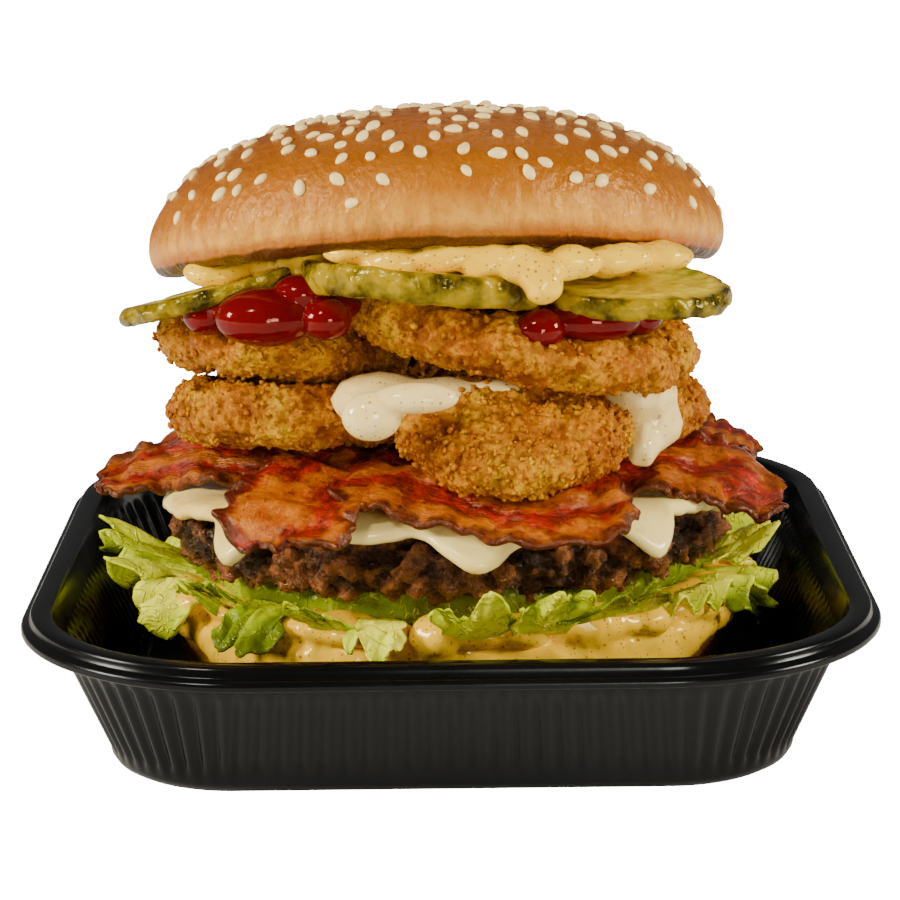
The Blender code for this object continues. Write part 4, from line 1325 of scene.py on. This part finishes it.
def pickle_slice(name, centre, radius, thickness, rise, slope, seed):
    def place(turn, level):
        share, height = on_curve(PICKLE_LINE, level)
        angle = math.tau * turn
        ring = heading(angle)
        skin = blend(0.85, 1.0, share)
        warts = 0.026 * noise_at(ring.x * 9, ring.y * 9, height * 1.5 + seed)
        warts += 0.014 * noise_at(ring.x * 22, ring.y * 22, height * 4 + seed)
        around = 0.010 * math.cos(11 * angle) + 0.02 * lumps(ring * radius, 0.02, seed)
        out = radius * share * (1 + share * around + skin * warts)
        x = out * ring.x
        y = out * ring.y
        warp = 0.0007 * noise_at(x * 70, y * 70, seed)
        dimples = 0.0003 * noise_at(x * 420, y * 420, seed + height)
        z = height * thickness + slope * x - rise * y + warp + dimples
        return Vector(centre) + Vector((x, y, z))

    def rim(turn, level):
        return on_curve(PICKLE_LINE, level).x

    return rolled(name, 200, 60, place, rim=rim)


def build_pickles():
    surface = pickle_material()
    for side, *form in PICKLES:
        settle(pickle_slice("pickle_slice_" + side, *form), surface, "pickle", "pickle_" + side)


# ---------------------------------------------------------------- sauces


def poured(node, name, voxel, soften, swell, extra, hold):
    """Thick sauce: a frame solid, drawn in past a radius, melted into one skin with its drips."""
    parts = [drawn_in(copy_of(node, name), hold, 0.2)]
    for centre, half in extra:
        drop = added(bpy.ops.mesh.primitive_uv_sphere_add, segments=24, ring_count=14, radius=1.0)
        drop.location = centre
        drop.scale = half
        bpy.ops.object.transform_apply(location=True, rotation=True, scale=True)
        parts.append(drop)
    return swollen(remeshed(joined(name, parts), voxel, soften), swell)


def build_sauces():
    tint = colours()
    house = sauce_material(
        "burger_sauce", tint.house_sauce, (0.26, 0.075, 0.008), 0.34, 0.11, 0.50, (1.0, 0.86, 0.55)
    )
    garlic = sauce_material(
        "garlic_mayonnaise", tint.garlic_sauce, (0.36, 0.18, 0.05), 0.22, 0.08, 0.55,
        (1.0, 1.0, 1.0)
    )
    red = sauce_material(
        "tomato_ketchup", tint.ketchup, (0.10, 0.001, 0.001), 0.0, 0.06, 0.38, (1.0, 0.45, 0.40)
    )
    draw = random.Random(5)
    brim = []
    for step in range(38):
        angle = 360.0 * step / 38 + draw.uniform(-3, 3)
        front = near(angle, -90, 110)
        height = 0.0218 + 0.05 * 0.055 * -math.sin(math.radians(angle)) + 0.0014 * front
        half = (0.0062 * draw.uniform(0.7, 1.4), 0.0052, 0.0034 * draw.uniform(0.5, 1.5))
        brim.append((on_ring(angle, 0.0540 + draw.uniform(-0.0015, 0.0020), height), half))
    edge_lumps = (
        ((-0.0165, -0.0490, 0.0980), (0.0064, 0.0034, 0.0022)),
        ((-0.0095, -0.0510, 0.0963), (0.0060, 0.0036, 0.0032)),
        ((0.0000, -0.0517, 0.0974), (0.0070, 0.0036, 0.0024)),
        ((0.0078, -0.0523, 0.0966), (0.0064, 0.0036, 0.0030)),
        ((0.0140, -0.0535, 0.0958), (0.0058, 0.0036, 0.0036)),
        ((0.0170, -0.0549, 0.0946), (0.0042, 0.0034, 0.0038)),
        ((0.0177, -0.0557, 0.0930), (0.0034, 0.0030, 0.0034)),
        ((0.0225, -0.0517, 0.0958), (0.0056, 0.0034, 0.0030)),
        ((0.0310, -0.0480, 0.0963), (0.0070, 0.0040, 0.0022)),
        ((0.0385, -0.0420, 0.0956), (0.0064, 0.0046, 0.0024)),
        ((0.0420, -0.0355, 0.0944), (0.0050, 0.0060, 0.0020)),
        ((-0.0440, -0.0300, 0.0912), (0.0062, 0.0050, 0.0020))
    )
    white_pool = (
        ((-0.0060, -0.0575, 0.0722), (0.0078, 0.0034, 0.0026)),
        ((-0.0142, -0.0572, 0.0688), (0.0054, 0.0040, 0.0044))
    )
    left_pool = (
        ((-0.0340, -0.0445, 0.0852), (0.0096, 0.0068, 0.0054)),
        ((-0.0275, -0.0440, 0.0896), (0.0050, 0.0044, 0.0034)),
        ((-0.0225, -0.0475, 0.0852), (0.0046, 0.0040, 0.0038)),
        ((-0.0310, -0.0400, 0.0862), (0.0150, 0.0060, 0.0036)),
        ((-0.0455, -0.0370, 0.0842), (0.0046, 0.0050, 0.0036))
    )
    right_pool = (
        ((0.0267, -0.0462, 0.0846), (0.0094, 0.0068, 0.0046)),
        ((0.0172, -0.0510, 0.0836), (0.0046, 0.0042, 0.0038)),
        ((0.0220, -0.0440, 0.0842), (0.0150, 0.0056, 0.0030)),
        ((0.0355, -0.0400, 0.0832), (0.0050, 0.0050, 0.0030))
    )
    jobs = (
        ("lower_sauce", "poured_sauce_lower", 0.0008, 4, 0.0003, brim, house, 1.0),
        ("upper_sauce", "poured_sauce_upper", 0.0005, 8, 0.0003, edge_lumps, house, 0.0475),
        ("white_sauce_front", "white_sauce_pool_front", 0.0004, 8, 0.0003, white_pool, garlic, 1.0),
        ("white_sauce_right", "white_sauce_pool_right", 0.0004, 8, 0.0004, (), garlic, 1.0),
        ("ketchup_left", "ketchup_pool_left", 0.0004, 8, 0.0002, left_pool, red, 1.0),
        ("ketchup_right", "ketchup_pool_right", 0.0004, 8, 0.0002, right_pool, red, 1.0)
    )
    slots = {house: "burger_sauce", garlic: "garlic_mayonnaise", red: "ketchup"}
    for node, name, voxel, soften, swell, extra, surface, hold in jobs:
        piece = poured(node, name, voxel, soften, swell, extra, hold)
        if surface == house:
            roughened(piece, "CLOUDS", 0.007, 0.0022)
        settle(piece, surface, slots[surface], node)


# ---------------------------------------------------------------- stage

CAMERA_PLACE = (0.00018, -0.6065, 0.1947)
CAMERA_PITCH = math.radians(90) - 0.2366
CAMERA_ROLL = -0.0113
CAMERA_LENS = 122.08
CAMERA_SENSOR = 36.0
AIR_STRENGTH = 0.13
FLOOR_GLOW = 17.0
LAMP_TINT = (1.0, 0.92, 0.76)
LAMP_AIM = (0.0, 0.0, 0.06)
LAMPS = (
    ("key_softbox", (-0.50, -0.70, 1.00), 0.22, 7.0),
    ("left_softbox", (-0.98, -0.28, 0.46), 0.28, 16.0),
    ("right_softbox", (0.98, -0.24, 0.46), 0.28, 14.0),
    ("front_softbox", (0.25, -1.25, 0.22), 0.26, 5.5),
    ("back_softbox", (0.10, 0.70, 1.00), 0.5, 1.0)
)


def floor_material():
    """An even floor that the camera sees as bright air, and that lights nothing."""
    made, place = new_material("pale_floor", roughness=0.8, emission_color=(1.0, 1.0, 1.0, 1.0))
    tone = colours().floor
    seen = put(made.node_tree, "ShaderNodeLightPath").outputs["Is Camera Ray"]
    return wired(
        made,
        base_color=ramp(noise_of(place, 3.0), (0.0, shaded(tone, (0.99, 0.99, 0.99))), (1.0, tone)),
        emission_strength=times(seen, FLOOR_GLOW)
    )


def build_stage():
    floor = added(bpy.ops.mesh.primitive_plane_add, size=12.0, location=(0.0, 0.0, -0.0002))
    floor.name = "studio_floor"
    bpy.ops.object.transform_apply(location=True)
    floor.data.materials.append(floor_material())

    world = bpy.data.worlds.new("studio_air")
    bpy.context.scene.world = world
    world.use_nodes = True
    air = world.node_tree.nodes["Background"]
    air.inputs["Color"].default_value = (1.0, 1.0, 1.0, 1.0)
    air.inputs["Strength"].default_value = AIR_STRENGTH

    for name, place, size, energy in LAMPS:
        lamp = added(bpy.ops.object.light_add, type="AREA", location=place)
        lamp.name = name
        lamp.data.size = size
        lamp.data.energy = energy
        lamp.data.color = LAMP_TINT
        aim = Vector(LAMP_AIM) - Vector(place)
        lamp.rotation_euler = aim.to_track_quat("-Z", "Y").to_euler()

    camera = added(bpy.ops.object.camera_add, location=CAMERA_PLACE)
    camera.name = "studio_camera"
    camera.data.lens = CAMERA_LENS
    camera.data.sensor_width = CAMERA_SENSOR
    camera.data.clip_start = 0.01
    turn = Matrix.Rotation(CAMERA_PITCH, 4, "X") @ Matrix.Rotation(CAMERA_ROLL, 4, "Z")
    camera.matrix_world = Matrix.Translation(CAMERA_PLACE) @ turn
    bpy.context.scene.camera = camera


# ---------------------------------------------------------------- operators and panel


class Builder:
    """An operator that runs its own builders in turn."""

    def execute(self, context):
        for build in type(self).build:
            build()
        return {"FINISHED"}


class BURGER_OT_tray(Builder, bpy.types.Operator):
    """Builds the ribbed black tray"""

    bl_idname = "burger.tray"
    bl_label = "Tray"
    build = (build_tray,)


class BURGER_OT_bun(Builder, bpy.types.Operator):
    """Builds the bun's heel and crown, and sows the sesame seeds"""

    bl_idname = "burger.bun"
    bl_label = "Bun and seeds"
    build = (build_heel, build_crown)


class BURGER_OT_patty(Builder, bpy.types.Operator):
    """Builds the seared patty and its melted cheese"""

    bl_idname = "burger.patty"
    bl_label = "Patty and cheese"
    build = (build_patty, build_cheese)


class BURGER_OT_lettuce(Builder, bpy.types.Operator):
    """Builds the chopped lettuce round the patty"""

    bl_idname = "burger.lettuce"
    bl_label = "Lettuce"
    build = (build_lettuce,)


class BURGER_OT_bacon(Builder, bpy.types.Operator):
    """Builds the fried rashers"""

    bl_idname = "burger.bacon"
    bl_label = "Bacon"
    build = (build_bacon,)


class BURGER_OT_onion_rings(Builder, bpy.types.Operator):
    """Builds the breaded onion rings and their crumbs"""

    bl_idname = "burger.onion_rings"
    bl_label = "Onion rings"
    build = (build_onion_rings,)


class BURGER_OT_pickles(Builder, bpy.types.Operator):
    """Builds the pickle slices"""

    bl_idname = "burger.pickles"
    bl_label = "Pickles"
    build = (build_pickles,)


class BURGER_OT_sauces(Builder, bpy.types.Operator):
    """Pours the sauces and the ketchup"""

    bl_idname = "burger.sauces"
    bl_label = "Sauces"
    build = (build_sauces,)


class BURGER_OT_stage(Builder, bpy.types.Operator):
    """Sets the floor, the lights and the camera"""

    bl_idname = "burger.stage"
    bl_label = "Stage"
    build = (build_stage,)


class BURGER_PT_builder(bpy.types.Panel):
    """Lists the burger's sizes, colours and builders"""

    bl_idname = "BURGER_PT_builder"
    bl_label = "Burger in a tray"
    bl_space_type = "VIEW_3D"
    bl_region_type = "UI"
    bl_category = "Burger"

    def draw(self, context):
        for settings in (context.scene.burger_sizes, context.scene.burger_colours):
            column = self.layout.column()
            for key in settings.__annotations__:
                column.prop(settings, key)
        for operator in OPERATORS:
            self.layout.operator(operator.bl_idname)


OPERATORS = (
    BURGER_OT_stage, BURGER_OT_tray, BURGER_OT_bun, BURGER_OT_patty, BURGER_OT_lettuce,
    BURGER_OT_bacon, BURGER_OT_onion_rings, BURGER_OT_pickles, BURGER_OT_sauces
)
CLASSES = (BurgerSizes, BurgerColours) + OPERATORS + (BURGER_PT_builder,)


def register():
    for cls in CLASSES:
        bpy.utils.register_class(cls)
    bpy.types.Scene.burger_sizes = PointerProperty(type=BurgerSizes)
    bpy.types.Scene.burger_colours = PointerProperty(type=BurgerColours)


def unregister():
    del bpy.types.Scene.burger_colours
    del bpy.types.Scene.burger_sizes
    for cls in reversed(CLASSES):
        bpy.utils.unregister_class(cls)


def main():
    register()
    bpy.ops.burger.stage()
    bpy.ops.burger.tray()
    bpy.ops.burger.bun()
    bpy.ops.burger.patty()
    bpy.ops.burger.lettuce()
    bpy.ops.burger.bacon()
    bpy.ops.burger.onion_rings()
    bpy.ops.burger.pickles()
    bpy.ops.burger.sauces()


if __name__ == "__main__":
    main()
